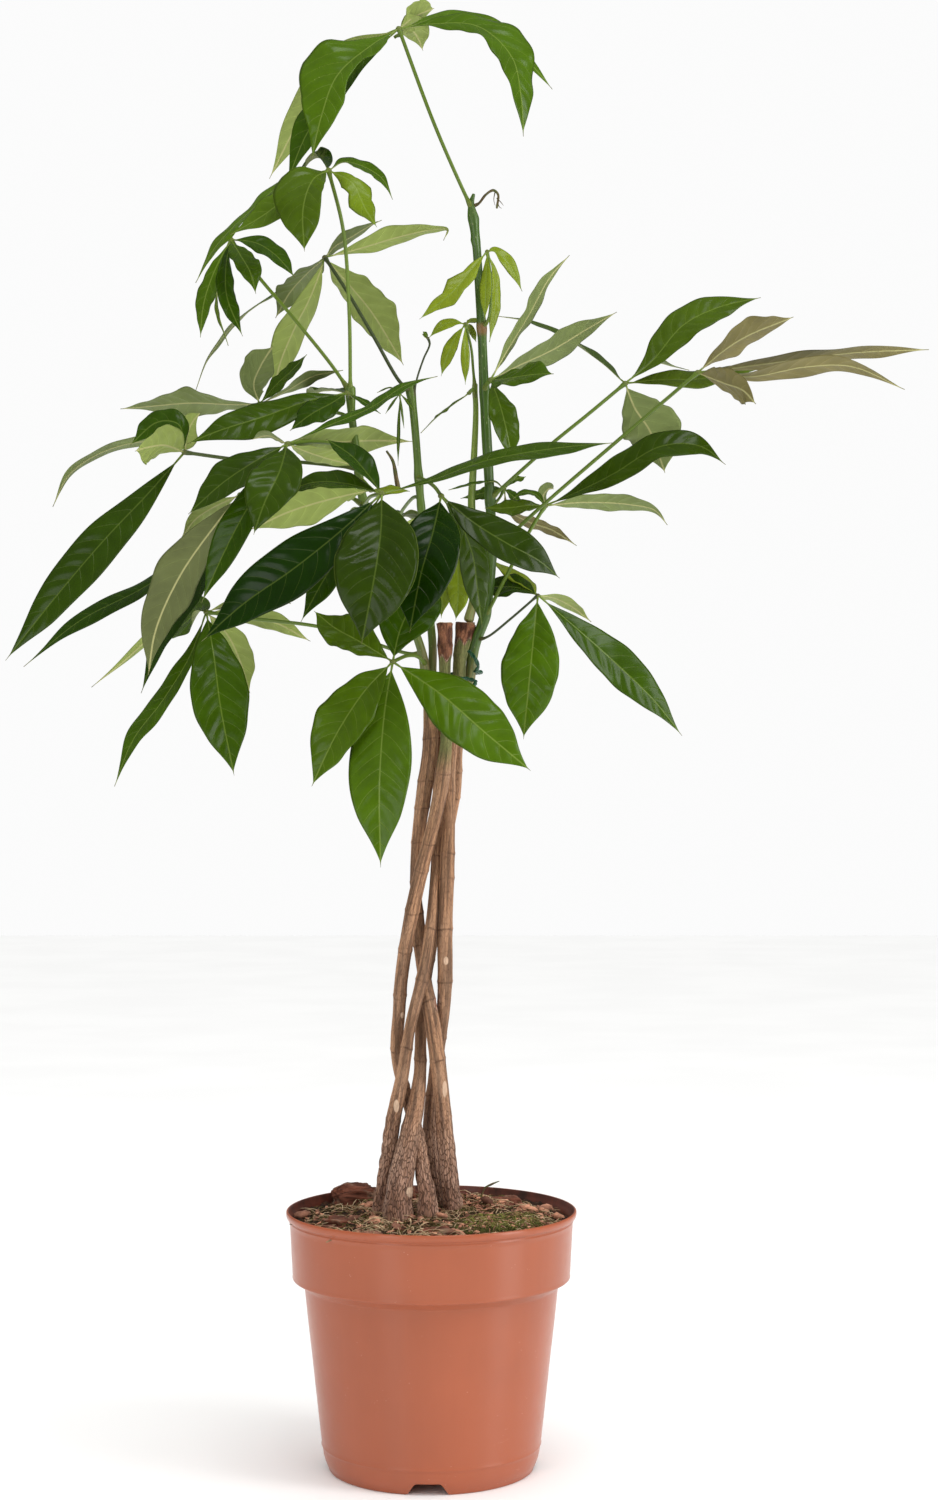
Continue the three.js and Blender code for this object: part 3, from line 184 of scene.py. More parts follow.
# The leaves. Each begins with its petiole, a list of x, z, depth from the stem to the hub. Its leaflets
# follow: a shade, a width, the tilt at the base and at the tip, and the points from the hub to the tip.
# Tilt is how far the upper face turns from the viewer up to the sky: 0 faces the viewer, 90 the sky and
# 180 away. Where a leaflet is lopsided, two lists come last: how many times as wide its left and right
# halves are at even stations, for someone who walks to the tip on its upper face.
LEAVES = {
    "leaf_crown": [
        [(33.6, 1038, 0), (25, 1056, -4), (2, 1109, -16), (-27, 1187, -30)],
        ("bright", 44, 60, 25, [(-50, 1173, -44), (-78, 1148, -60), (-91, 1114, -66), (-99, 1079, -64)],
         ([1.2, 1.6, 0.5, 0.55, 0.8, 0.9, 1], [1.2, 1.2, 1.6, 1.6, 1.1, 0.8, 1])),
        ("pale", 34, 130, 150, [(-74, 1166, -8), (-108, 1114, 14), (-134, 1063, 20)]),
        ("deep", 32, 40, 40, [(-72, 1146, -18), (-104, 1098, -30), (-120, 1057, -32)]),
        ("bright", 42, 78, 35, [(2, 1191, -34), (38, 1189, -40), (66, 1164, -48), (74, 1130, -52),
         (76, 1098, -52)], ([1, 1.1, 1.0, 1.3, 1.1, 1.1, 1], [1, 1, 0.9, 0.8, 0.9, 1.0, 1])),
        ("bright", 26, 85, 40, [(20, 1197, 6), (62, 1181, 18), (82, 1158, 22), (100, 1137, 22)]),
        ("pale", 28, 130, 140, [(-14, 1197, 4), (2, 1204, 34)]),
        ("pale", 30, 150, 150, [(-20, 1188, 4), (-12, 1181, 32), (-7, 1169, 50)]),
    ],
    "leaf_upper_left": [
        [(-67, 886, 0), (-68, 953, -22), (-73, 1021, -46), (-85, 1070, -60)],
        ("grey", 46, 45, 10, [(-98, 1062, -84), (-106, 1038, -104), (-105, 1003, -110)],
         ([1, 0.8, 0.6, 0.6, 0.7, 0.9, 1], [1.2, 1.4, 1.4, 1.2, 1.0, 0.9, 1])),
        ("fresh", 22, 30, 20, [(-66, 1060, -70), (-54, 1037, -74), (-45, 1023, -72)],
         ([1, 1, 0.7, 1.2, 0.8, 1.2, 1], [1, 0.9, 1.1, 0.7, 1.2, 0.7, 1])),
        ("mid", 18, 75, 60, [(-72, 1077, -44), (-52, 1071, -30), (-40, 1062, -24), (-32, 1046, -18)]),
        ("dark", 24, 70, 60, [(-91, 1080, -36), (-99, 1079, -12), (-109, 1070, 10)]),
        ("bright", 26, 75, 65, [(-118, 1062, -52), (-150, 1036, -44), (-178, 1007, -38),
         (-195, 977, -34)]),
        ("bright", 34, 60, 50, [(-113, 1052, -74), (-140, 1032, -76), (-166, 1017, -72)]),
    ],
    "leaf_far_upper_left": [
        [(-68.5, 889, 1), (-84, 911, 8), (-114, 948, 16), (-146, 986, 20), (-166, 1013, 14)],
        ("deep", 26, 60, 50, [(-145, 1010, 8), (-129, 1000, 2), (-113, 982, -2)]),
        ("deep", 24, 45, 30, [(-158, 1000, -8), (-150, 986, -20), (-145, 968, -26)]),
        ("deep", 20, 45, 35, [(-170, 990, -2), (-169, 965, -12), (-156, 933, -16)]),
        ("bright", 18, 40, 35, [(-180, 985, 10), (-188, 960, 10), (-191, 932, 6)]),
        ("pale", 14, 82, 80, [(-174, 990, 22), (-177, 958, 34), (-168, 925, 36)]),
    ],
    "leaf_upper_mid": [
        [(-17, 889, 1), (-25, 894, 8), (-48, 933, 28), (-68, 967, 44), (-88, 998, 60)],
        ("pale", 26, 125, 125, [(-58, 1006, 68), (-28, 1015, 70), (0, 1021, 66), (13, 1021, 62),
         (10, 1012, 60)]),
        ("grey", 22, 115, 115, [(-79, 1008, 80), (-65, 1016, 92), (-50, 1025, 98), (-41, 1029, 98)]),
        ("pale", 46, 140, 135, [(-70, 978, 88), (-50, 954, 104), (-36, 932, 108), (-23, 909, 108)]),
        ("grey", 38, 120, 125, [(-104, 984, 92), (-118, 968, 108), (-129, 948, 114)]),
        ("pale", 36, 140, 140, [(-100, 966, 78), (-114, 938, 96), (-126, 908, 106), (-130, 884, 108)]),
        ("grey", 20, 100, 100, [(-126, 971, 124), (-160, 946, 122), (-184, 916, 116), (-195, 888, 110)]),
    ],
    "leaf_young_top": [
        [(42, 940, 0), (47, 947, -6), (49, 980, -12), (46, 1003, -15)],
        ("lime", 19, 30, 15, [(34, 989, -24), (20, 972, -32), (5, 959, -36), (-10, 947, -36)],
         ([1, 0.9, 1.1, 0.7, 1.1, 0.6, 1], [1, 1.1, 0.7, 1.2, 0.6, 0.9, 1])),
        ("lime", 10, 20, 20, [(45, 976, -22), (44, 946, -22)]),
        ("lime", 11, 30, 40, [(52, 986, -6), (53, 965, -2), (48, 928, 1)]),
        ("lime", 12, 40, 40, [(53, 1003, 0), (65, 991, 10), (75, 970, 14)]),
    ],
    "leaf_young_mid": [
        [(36, 889, 5), (34.4, 906, 2), (33, 922, -2), (28, 943, -6)],
        ("lime", 10, 40, 40, [(18, 945, -14), (8, 941, -20), (-2, 932, -22)]),
        ("lime", 11, 15, 15, [(19, 930, -10), (12, 914, -14), (8, 900, -14)]),
        ("lime", 8, 20, 20, [(28, 922, -12), (28, 893, -13)]),
        ("lime", 7, 30, 30, [(33, 938, 6), (37, 928, 11)]),
        ("lime", 7, 50, 50, [(35, 946, 8), (47, 944, 16)]),
    ],
    "leaf_young_left": [
        [(-16.5, 887, 0), (-20, 889, -5), (-26, 886, -10)],
        ("dark", 3.2, 20, 20, [(-27, 860, -15), (-27.7, 826, -17)]),
        ("dark", 2.6, 30, 30, [(-24.6, 872, -13), (-22.6, 857, -13)]),
        ("dark", 2.6, 30, 30, [(-32, 878, -13), (-38, 869, -13)]),
        ("dark", 3, 60, 60, [(-34, 890.5, -9), (-45, 886.5, -9)]),
        ("dark", 3.2, 30, 30, [(-20, 879, -10), (-13.5, 870, -9)]),
    ],
    "leaf_bud": [
        [(-15, 881, -1), (-12.2, 897, -4), (-6.5, 914.4, -6), (-1.4, 926.6, -6), (-3, 931.4, -6)],
        ("mid", 5, 40, 40, [(-4.6, 934, -7), (-7, 937, -8)]),
        ("mid", 4, 100, 100, [(-5.4, 932.6, -4), (-7.6, 935, -3)]),
    ],
    "leaf_strip": [
        [(36.4, 882, 5), (34, 889, -1), (31, 886, -3)],
        ("grey", 13, 85, 85, [(18, 877, -8), (4, 866, -14), (-9, 853, -18)]),
    ],
    "leaf_right_high": [
        [(43.6, 887, 0), (45, 892, -5), (49, 897, -12)],
        ("grey", 22, 125, 125, [(60, 917, 0), (80, 950, 14), (98, 982, 24), (114, 1000, 28)]),
        ("grey", 34, 125, 125, [(72, 909, 6), (100, 922, 20), (130, 940, 30), (153, 953, 34)]),
        ("deep", 36, 55, 65, [(62, 898, -40), (82, 901, -62), (101, 902, -80)]),
        ("deep", 28, 35, 30, [(56, 878, -28), (62, 855, -36), (67, 830, -38)]),
    ],
    "leaf_right_fan": [
        [(49, 799, 0), (62, 811, -7), (98, 843, -8), (130, 869, -5), (160, 894, 0)],
        ("grey", 26, 65, 100, [(140, 912, 40), (110, 932, 68), (80, 945, 80), (53, 950, 82)]),
        ("grey", 38, 45, 45, [(182, 912, 8), (208, 942, 18), (238, 957, 28), (272, 965, 32)]),
        ("grey", 20, 95, 95, [(183, 911, 32), (200, 908, 50), (213, 905, 62)]),
        ("olive", 26, 50, 50, [(190, 897, 26), (225, 898, 46), (255, 905, 58), (278, 907, 62)]),
        ("grey", 54, 145, 150, [(168, 874, -4), (181, 854, 2), (193, 820, 14)]),
    ],
    "leaf_far_right": [
        [(50, 753, 0), (72, 775, -24), (95, 796, -38), (160, 852, -42), (220, 903, -34)],
        ("olive", 36, 125, 125, [(241, 921, -28), (262, 934, -18), (299, 949, -8)]),
        ("olive", 30, 120, 120, [(265, 909, -44), (310, 915, -50), (355, 920, -50), (411, 922, -46)]),
        ("olive", 32, 115, 115, [(265, 900, -60), (310, 908, -72), (348, 908, -76), (391, 889, -76)]),
        ("olive", 36, 125, 130, [(243, 894, -64), (258, 888, -88), (268, 877, -100)]),
    ],
    "leaf_right_low": [
        [(44, 700, 0), (61, 733, -10), (80, 770, -16), (94, 793, -12)],
        ("dark", 34, 50, 45, [(120, 804, -22), (150, 819, -32), (190, 842, -40), (222, 842, -42),
         (243, 827, -42)], ([1, 1, 1, 1, 1, 1.2, 1.1], [1, 1, 1, 1, 1.1, 1.4, 1.2])),
        ("grey", 27, 125, 122, [(125, 796, 4), (165, 794, 12), (185, 789, 14), (195, 777, 14)]),
        ("olive", 20, 50, 50, [(80, 793, -16), (62, 791, -18), (44, 791, -18)]),
        ("deep", 13, 60, 60, [(86, 802, -6), (77, 804, -8), (67, 799, -9)]),
        ("grey", 16, 130, 130, [(92, 801, 8), (97, 807, 22), (101, 807, 32)]),
    ],
    "leaf_small_right": [
        [(48.6, 792, 2), (56, 799, 6), (60, 807, 4)],
        ("deep", 11, 75, 75, [(52, 813, -4), (30, 810, -11), (14, 806, -12)]),
        ("mid", 10, 60, 60, [(68, 814, 6), (78, 817, 12)]),
        ("mid", 12, 50, 50, [(68, 800, 16), (79, 790, 24)]),
        ("deep", 17, 60, 60, [(46, 804, 16), (24, 799, 24)]),
        ("olive", 18, 120, 120, [(64, 790, 20), (80, 780, 30), (100, 773, 34), (120, 760, 34)]),
    ],
    "leaf_right_hanging": [
        [(38, 682, 3), (47, 685, -6), (66, 700, -20), (88, 719, -30)],
        ("dark", 26, 40, 45, [(72, 725, -8), (54, 726, 10), (34, 724, 18)]),
        ("lime", 20, 60, 60, [(74, 731, 4), (58, 742, 18), (44, 751, 24)]),
        ("bright", 48, 12, 12, [(84, 680, -50), (80, 640, -58), (76, 600, -54)]),
        ("deep", 34, 35, 35, [(124, 688, -18), (152, 663, -6), (182, 634, 0), (207, 603, 4)]),
        ("pale", 20, 120, 120, [(104, 716, 4), (120, 707, 24), (132, 697, 34)]),
    ],
    "leaf_front_low": [
        [(-5, 662, -2), (-11, 668, -24), (-20, 669, -60), (-32, 664, -100)],
        ("bright", 46, 28, 28, [(-55, 640, -122), (-78, 605, -140), (-99, 561, -144)]),
        ("bright", 50, 10, 10, [(-39, 620, -134), (-43, 560, -154), (-42, 494, -158)]),
        ("bright", 50, 20, 20, [(8, 637, -112), (46, 604, -124), (82, 574, -124)]),
        ("deep", 50, 12, 12, [(-26, 690, -94), (-14, 716, -88), (2, 742, -78)]),
        ("mid", 34, 32, 32, [(-60, 681, -92), (-80, 692, -84), (-97, 706, -72)]),
    ],
    "leaf_front_left": [
        [(-57, 794, 0), (-57, 791, -30), (-51, 800, -90), (-41, 803, -150)],
        ("night", 47, 25, 25, [(-75, 772, -168), (-115, 740, -176), (-155, 712, -172),
         (-190, 681, -160)]),
        ("night", 64, 8, 8, [(-42, 770, -182), (-47, 735, -200), (-58, 678, -202)]),
        ("dark", 28, 50, 50, [(-52, 818, -140), (-66, 834, -130), (-87, 848, -120)]),
        ("dark", 28, 60, 60, [(-70, 811, -136), (-98, 812, -122), (-122, 803, -110)]),
        ("dark", 30, 65, 65, [(0, 814, -134), (45, 830, -110), (100, 840, -80), (150, 845, -54)]),
        ("dark", 30, 40, 40, [(-60, 772, -140), (-85, 738, -138), (-108, 697, -130)]),
    ],
    "leaf_front_mid": [
        [(-10.6, 816, 0), (-5, 814, -30), (3, 808, -86), (8, 801, -120)],
        ("night", 55, 15, 15, [(1, 770, -150), (-9, 735, -168), (-18, 688, -172)]),
        ("night", 36, 28, 25, [(35, 779, -130), (62, 762, -128), (88, 748, -120), (106, 733, -110)]),
        ("dark", 26, 20, 20, [(24, 778, -104), (34, 752, -92), (38, 724, -86), (42, 692, -80)]),
    ],
    "leaf_small_mid": [
        [(33.8, 764, 5), (30, 768, -14), (25, 763, -38), (22, 757, -52)],
        ("lime", 19, 12, 12, [(22, 735, -60), (22, 715, -60), (20, 698, -56)]),
        ("lime", 17, 30, 30, [(14, 735, -50), (9, 715, -46), (8, 700, -42)]),
    ],
    "leaf_left_fan": [
        [(-62, 836, 0), (-72, 842, -24), (-98, 846, -76), (-119, 844, -112)],
        ("dark", 34, 40, 40, [(-145, 830, -126), (-172, 812, -134), (-201, 786, -136)]),
        ("dark", 42, 22, 20, [(-126, 820, -146), (-138, 795, -162), (-147, 769, -166)]),
        ("deep", 30, 35, 30, [(-142, 808, -116), (-166, 765, -116), (-190, 713, -108)]),
        ("deep", 20, 68, 65, [(-90, 857, -112), (-50, 874, -98), (-20, 893, -82), (5, 900, -74)]),
        ("pale", 34, 140, 140, [(-98, 847, -66), (-76, 846, -16), (-44, 847, 22), (-14, 846, 36)]),
        ("pale", 26, 125, 125, [(-98, 836, -80), (-78, 830, -54), (-60, 826, -40)]),
        ("grey", 14, 115, 115, [(-135, 851, -84), (-148, 848, -62)]),
    ],
    "leaf_left_long": [
        [(-66.6, 882, 0), (-67.6, 885, -8), (-70, 886, -16)],
        ("dark", 34, 42, 40, [(-100, 880, -30), (-140, 866, -44), (-175, 855, -52), (-202, 844, -56)]),
        ("dark", 28, 45, 40, [(-82, 878, -34), (-100, 868, -44), (-117, 855, -50)]),
        ("deep", 12, 70, 70, [(-58, 880, -14), (-42, 869, -10)]),
        ("grey", 30, 95, 95, [(-78, 888, 12), (-90, 888, 56), (-104, 882, 92)]),
    ],
    "leaf_far_left": [
        [(-61, 824, 0), (-110, 829, -8), (-150, 830, -16), (-204, 837, -20)],
        ("pale", 40, 140, 140, [(-220, 843, -48), (-236, 841, -70), (-245, 838, -80)]),
        ("deep", 24, 45, 40, [(-209, 860, -10), (-226, 862, -4), (-249, 843, 2)]),
        ("grey", 22, 120, 115, [(-240, 846, 26), (-275, 836, 34), (-300, 818, 34), (-313, 792, 32)]),
        ("dark", 39, 25, 25, [(-235, 802, -38), (-270, 765, -50), (-310, 718, -56), (-352, 665, -54)]),
        ("pale", 22, 140, 140, [(-202, 852, 4), (-197, 863, 16), (-191, 870, 26)]),
    ],
    "leaf_left_back": [
        [(-65.4, 862, 0), (-72, 868, 10), (-110, 874, 34), (-142, 877, 52)],
        ("grey", 38, 115, 120, [(-168, 877, 66), (-200, 878, 84), (-235, 875, 92), (-257, 873, 94)]),
        ("grey", 38, 140, 140, [(-147, 893, 58), (-141, 909, 62), (-131, 925, 62)]),
        ("grey", 24, 60, 60, [(-128, 893, 38), (-114, 906, 34), (-103, 918, 32)]),
        ("grey", 22, 110, 110, [(-120, 888, 48), (-98, 900, 44), (-73, 905, 38)]),
    ],
    "leaf_lower_left": [
        [(-57, 794, 0), (-70, 801, 6), (-110, 804, 4), (-158, 802, -8)],
        # painted shade: this leaflet shows its underside, and its night shade darkens that underside
        ("night", 44, 145, 145, [(-178, 778, -26), (-208, 735, -36), (-228, 690, -36), (-234, 653, -30)]),
        ("pale", 19, 130, 130, [(-180, 792, 10), (-196, 781, 22), (-207, 766, 28)]),
        ("dark", 25, 62, 60, [(-198, 752, 20), (-240, 724, 34), (-290, 698, 40), (-337, 660, 38)]),
        ("pale", 18, 130, 130, [(-196, 726, 46), (-246, 672, 62), (-281, 643, 62)]),
        ("dark", 34, 42, 40, [(-190, 735, 4), (-220, 690, 4), (-240, 638, 6)]),
    ],
    "leaf_low_left": [
        [(-7.6, 671, -2), (-20, 671, 8), (-88, 692, 22), (-150, 700, 30), (-186, 705, 30)],
        ("mid", 26, 50, 50, [(-200, 668, 20), (-222, 632, 12), (-246, 600, 6), (-262, 561, 2)]),
        ("mid", 50, 15, 15, [(-180, 670, 4), (-174, 625, -8), (-163, 570, -8)]),
        ("pale", 32, 140, 140, [(-168, 686, 52), (-157, 662, 66), (-150, 638, 68)]),
        ("lime", 24, 140, 140, [(-158, 703, 56), (-128, 696, 64), (-100, 681, 64)]),
        ("lime", 20, 120, 120, [(-160, 715, 60), (-138, 718, 76), (-116, 712, 84)]),
        ("mid", 34, 60, 50, [(-192, 706, 66), (-206, 694, 100), (-224, 682, 122)]),
    ],
    "leaf_pale_left": [
        [(-60, 814, 0), (-56, 813, -8), (-50, 806, -16)],
        ("pale", 40, 140, 140, [(-82, 799, -30), (-118, 788, -40), (-150, 773, -42)]),
        ("pale", 22, 120, 120, [(-70, 801, -16), (-92, 793, -12)]),
        ("lime", 18, 60, 60, [(-34, 806, -34), (-18, 805, -40)]),
    ],
    "leaf_back": [
        [(-8.6, 792, 0), (-12, 800, 20), (-22, 792, 80), (-32, 775, 125)],
        ("grey", 44, 100, 130, [(-52, 768, 150), (-74, 750, 176), (-88, 726, 192)]),
        ("grey", 46, 130, 150, [(-28, 756, 150), (-24, 736, 174), (-20, 704, 184)]),
        ("pale", 38, 100, 120, [(-10, 778, 148), (8, 772, 172), (22, 756, 188)]),
        ("mid", 34, 80, 90, [(-48, 788, 150), (-62, 788, 176), (-72, 780, 198)]),
        ("deep", 30, 95, 95, [(-24, 784, 155), (-16, 782, 185), (-8, 772, 206)]),
    ],
}


# --- Surfaces ----------------------------------------------------


def rise(value, low, high):
    """A smooth step: 0 up to low, 1 from high on, and 3t^2 - 2t^3 between them."""
    t = np.clip((value - low) / (high - low), 0, 1)
    return t * t * (3 - 2 * t)


def hill(value, middle, reach):
    """A bell: exp(-((value - middle) / reach)^2)."""
    return np.exp(-(((value - middle) / reach) ** 2))


def ripples(seed, pitch, count, *axes):
    """Soft noise of about -1 to 1: the sum of count sine waves over the axes, over the root of half their
    number, each with random pitches up to pitch and a random start."""
    draw = np.random.default_rng(seed)
    total = 0.0
    for _ in range(count):
        pitches = draw.uniform(-1, 1, len(axes)) * pitch
        total = total + np.sin(sum(p * a for p, a in zip(pitches, axes)) + draw.uniform(0, TURN))
    return total / math.sqrt(count / 2) / 1.6


def unit(vectors):
    """The vectors at length 1."""
    return vectors / np.maximum(np.linalg.norm(vectors, axis=-1, keepdims=True), 1e-12)


def seen(points):
    """Rows of x, z, depth in millimetres as places in metres: each point slides along its sight line to its
    depth, so x and z scale with the distance from the viewer."""
    x, z, depth = np.asarray(points, float).T
    scale = (VIEW_DISTANCE + depth) / VIEW_DISTANCE
    return np.stack([VIEW_X + (x - VIEW_X) * scale, depth, VIEW_HEIGHT + (z - VIEW_HEIGHT) * scale], 1) * MM


def as_seen(places):
    """The x and z, in millimetres, at which places are seen: the other way round from seen."""
    x, y, z = np.moveaxis(places / MM, -1, 0)
    scale = (VIEW_DISTANCE + y) / VIEW_DISTANCE
    return VIEW_X + (x - VIEW_X) / scale, VIEW_HEIGHT + (z - VIEW_HEIGHT) / scale


def smooth_path(points, spacing=None, steps=None, start=0.0):
    """A curve through points and its even stations: a cubic between each two points whose slopes come from
    their neighbours, with spans weighed by the root of their length. Gives places, directions, the row
    number at each station and the length run so far."""
    before, after = 2 * points[0] - points[1], 2 * points[-1] - points[-2]
    knots = np.vstack([before, points, after])
    gap = np.sqrt(np.linalg.norm(np.diff(knots, axis=0), axis=1, keepdims=True))
    a, b, c = gap[:-2], gap[1:-1], gap[2:]
    p0, p1, p2, p3 = knots[:-3], knots[1:-2], knots[2:-1], knots[3:]
    slope1 = b * ((p1 - p0) / a - (p2 - p0) / (a + b)) + (p2 - p1)
    slope2 = b * ((p3 - p2) / c - (p3 - p1) / (b + c)) + (p2 - p1)
    fine = 60
    t = (np.arange(fine) / fine)[None, :, None]
    p1, p2, slope1, slope2 = (v[:, None] for v in (p1, p2, slope1, slope2))
    curve = (2 * t**3 - 3 * t**2 + 1) * p1 + (t**3 - 2 * t**2 + t) * slope1
    curve = curve + (3 * t**2 - 2 * t**3) * p2 + (t**3 - t**2) * slope2
    curve = np.vstack([curve.reshape(-1, 3), points[-1:]])
    length = np.concatenate([[0], np.cumsum(np.linalg.norm(np.diff(curve, axis=0), axis=1))])
    steps = steps or max(4, int(round(length[-1] / spacing)))
    run = np.linspace(start, length[-1], steps + 1)
    place = np.stack([np.interp(run, length, curve[:, k]) for k in range(3)], 1)
    row = np.interp(run, length, np.arange(len(curve)) / fine)
    along = unit(np.gradient(place, axis=0))
    return place, along, row, run


def closed(rings, values, finish=0):
    """A closed surface from rings of points, or many of them at once: quads join each ring to the next, a fan
    closes each end at the mean of its ring, and the sign of the volume turns the faces outwards. values holds
    three numbers for each point, and finish the material of each column."""
    rings = np.asarray(rings, float)
    if rings.ndim == 3:
        rings = rings[None]
    many, n, m, _ = rings.shape
    size = n * m + 2

    def with_ends(grid):
        grid = np.broadcast_to(grid, (many, n, m, 3))
        return np.concatenate([grid.reshape(many, n * m, 3), grid[:, [0, -1]].mean(2)], 1)

    places = with_ends(rings)
    near = np.arange(m)
    far = (near + 1) % m
    step = (np.arange(n - 1) * m)[:, None]
    quads = np.stack([step + near, step + far, step + m + far, step + m + near], -1).reshape(-1, 4)
    top = (n - 1) * m
    start_fan = np.stack([np.full(m, n * m), far, near], -1)
    end_fan = np.stack([np.full(m, n * m + 1), top + near, top + far], -1)
    fans = np.vstack([start_fan, end_fan])
    a, b, c, d = (places[:, quads[:, k]] - places[:, :1] for k in range(4))
    volume = np.einsum("fqk,fqk->f", a, np.cross(b, c)) + np.einsum("fqk,fqk->f", a, np.cross(c, d))
    inward = (volume < 0)[:, None, None]
    shift = (np.arange(many) * size)[:, None, None]
    quads = np.where(inward, quads[None, :, ::-1], quads[None]) + shift
    fans = np.where(inward, fans[None, :, ::-1], fans[None]) + shift
    column = np.broadcast_to(np.asarray(finish), (m,))
    return {
        "places": places.reshape(-1, 3),
        "quads": quads.reshape(-1, 4),
        "fans": fans.reshape(-1, 3),
        "values": {key: with_ends(grid).reshape(-1, 3) for key, grid in values.items()},
        "quad_finish": np.tile(np.tile(column, n - 1), many),
        "fan_finish": np.tile(np.tile(column, 2), many),
    }


def put_in_mesh(name, skins):
    """The skins as one smooth-shaded mesh, with their values as vector attributes."""
    counts = np.cumsum([0] + [len(s["places"]) for s in skins])
    places = np.concatenate([s["places"] for s in skins])
    quads = np.concatenate([s["quads"] + c for s, c in zip(skins, counts)])
    fans = np.concatenate([s["fans"] + c for s, c in zip(skins, counts)])
    finish = np.concatenate([s["quad_finish"] for s in skins] + [s["fan_finish"] for s in skins])
    mesh = bpy.data.meshes.new(name)
    mesh.vertices.add(len(places))
    mesh.vertices.foreach_set("co", places.astype(np.float32).ravel())
    corners = np.concatenate([quads.ravel(), fans.ravel()]).astype(np.int32)
    starts = np.concatenate([np.arange(len(quads)) * 4, len(quads) * 4 + np.arange(len(fans)) * 3])
    mesh.loops.add(len(corners))
    mesh.loops.foreach_set("vertex_index", corners)
    mesh.polygons.add(len(starts))
    mesh.polygons.foreach_set("loop_start", starts.astype(np.int32))
    mesh.polygons.foreach_set("material_index", finish.astype(np.int32))
    mesh.update(calc_edges=True)
    for key in skins[0]["values"]:
        attribute = mesh.attributes.new(key, "FLOAT_VECTOR", "POINT")
        numbers = np.concatenate([s["values"][key] for s in skins])
        attribute.data.foreach_set("vector", numbers.astype(np.float32).ravel())
    mesh.validate()
    mesh.shade_smooth()
    return mesh


def add_piece(name, skins, materials, nodes=()):
    """One finished object: it rides on the root body and stands for the CAD nodes that it replaces."""
    mesh = put_in_mesh(name, skins)
    for material in materials:
        mesh.materials.append(material)
    piece = bpy.data.objects.new(name, mesh)
    bpy.context.scene.collection.objects.link(piece)
    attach(piece, "root")
    if nodes:
        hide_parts(*nodes)
    return piece


def around(sides):
    """Even angles once round, from 0."""
    return TURN * np.arange(sides) / sides


def stem_rings(place, along, radius, reference):
    """Circles of radius round the stations of a path, square to it, that start on the reference's side."""
    across = unit(reference - along * (along @ reference)[:, None])
    other = np.cross(along, across)
    angle = around(radius.shape[1])[None, :, None]
    spoke = np.cos(angle) * across[:, None] + np.sin(angle) * other[:, None]
    return place[:, None] + radius[..., None] * spoke


END_ANGLES = np.radians([35, 62, 82])  # where a round end has its rings, on a quarter circle


def with_round_ends(place, along, radius, run, flatness):
    """The stations with a few more at each end, on a quarter circle that closes the stem: radius times the
    cosine, and flatness times radius times the sine as far beyond the end."""
    ends = len(END_ANGLES)
    out = np.sin(END_ANGLES)[:, None] * flatness
    foot = place[0] - along[0] * out[::-1] * radius[0].mean()
    head = place[-1] + along[-1] * out * radius[-1].mean()
    place = np.vstack([foot, place, head])
    along = np.vstack([np.repeat(along[:1], ends, 0), along, np.repeat(along[-1:], ends, 0)])
    shrink = np.cos(END_ANGLES)[:, None]
    radius = np.vstack([radius[:1] * shrink[::-1], radius, radius[-1:] * shrink])
    run = np.concatenate([np.repeat(run[:1], ends), run, np.repeat(run[-1:], ends)])
    return place, along, radius, run


def stem(rows, sides, spacing, relief=None, tone=None, reference=(1, 0, 0), flatness=0.6):
    """A round stem along rows of x, z, depth and radius: a circle carried along the smooth path, with relief
    added to its radius. The grain attribute holds its place on a straight stem, so bark runs lengthwise."""
    rows = np.array(rows, float)
    place, along, row, run = smooth_path(seen(rows[:, :3]), spacing)
    radius = np.interp(row, np.arange(len(rows)), rows[:, 3]) * MM
    angle = around(sides)[None]
    height = place[:, 2:3] / MM
    bumps = relief(run[:, None] / MM, angle, height) * MM if relief else 0
    thick = radius[:, None] + bumps + 0 * angle
    ends = len(END_ANGLES)
    grain_radius = np.pad(radius, ends, "edge")[:, None] + 0 * angle
    place, along, thick, run = with_round_ends(place, along, thick, run, flatness)
    rings = stem_rings(place, along, thick, np.array(reference, float))
    grain = np.stack(
        [grain_radius * np.cos(angle), grain_radius * np.sin(angle), run[:, None] + 0 * angle], -1
    )
    colour = tone(rings, run[:, None] / MM + 0 * angle) if tone else np.zeros_like(grain)
    return closed(rings, {"grain": grain, "tone": colour})


def turned(profile, sides, change=None):
    """Rings of a profile of radius and height, in millimetres, turned round the Z axis. A function may change
    the radius and the height from angle to angle."""
    radius, height = np.array(profile, float).T
    angle = around(sides)[None]
    radius = radius[:, None] + 0 * angle
    height = height[:, None] + 0 * angle
    if change:
        radius, height = change(radius, height, angle)
    return np.stack([radius * np.cos(angle), radius * np.sin(angle), height], -1) * MM


def drawn_finely(profile, spacing):
    """A profile with points added so that no two are further apart than spacing."""
    profile = np.array(profile, float)
    gaps = np.linalg.norm(np.diff(profile, axis=0), axis=1)
    cuts = np.maximum(1, np.ceil(gaps / spacing)).astype(int)
    share = np.concatenate([np.arange(n) / n + i for i, n in enumerate(cuts)] + [[len(cuts)]])
    return np.stack([np.interp(share, np.arange(len(profile)), profile[:, k]) for k in range(2)], 1)


# --- Pot ---------------------------------------------------------

FOOT_TOP = 13.0  # the arches squeeze what is below this height
FOOT_POINTS = 9  # the outside's points from the ground to just above that height
POT_SIDES = 480
DRAIN_SIDES = 40
FAN_RADIUS = 1.5  # the section starts and ends here, and a fan of faces closes the rest

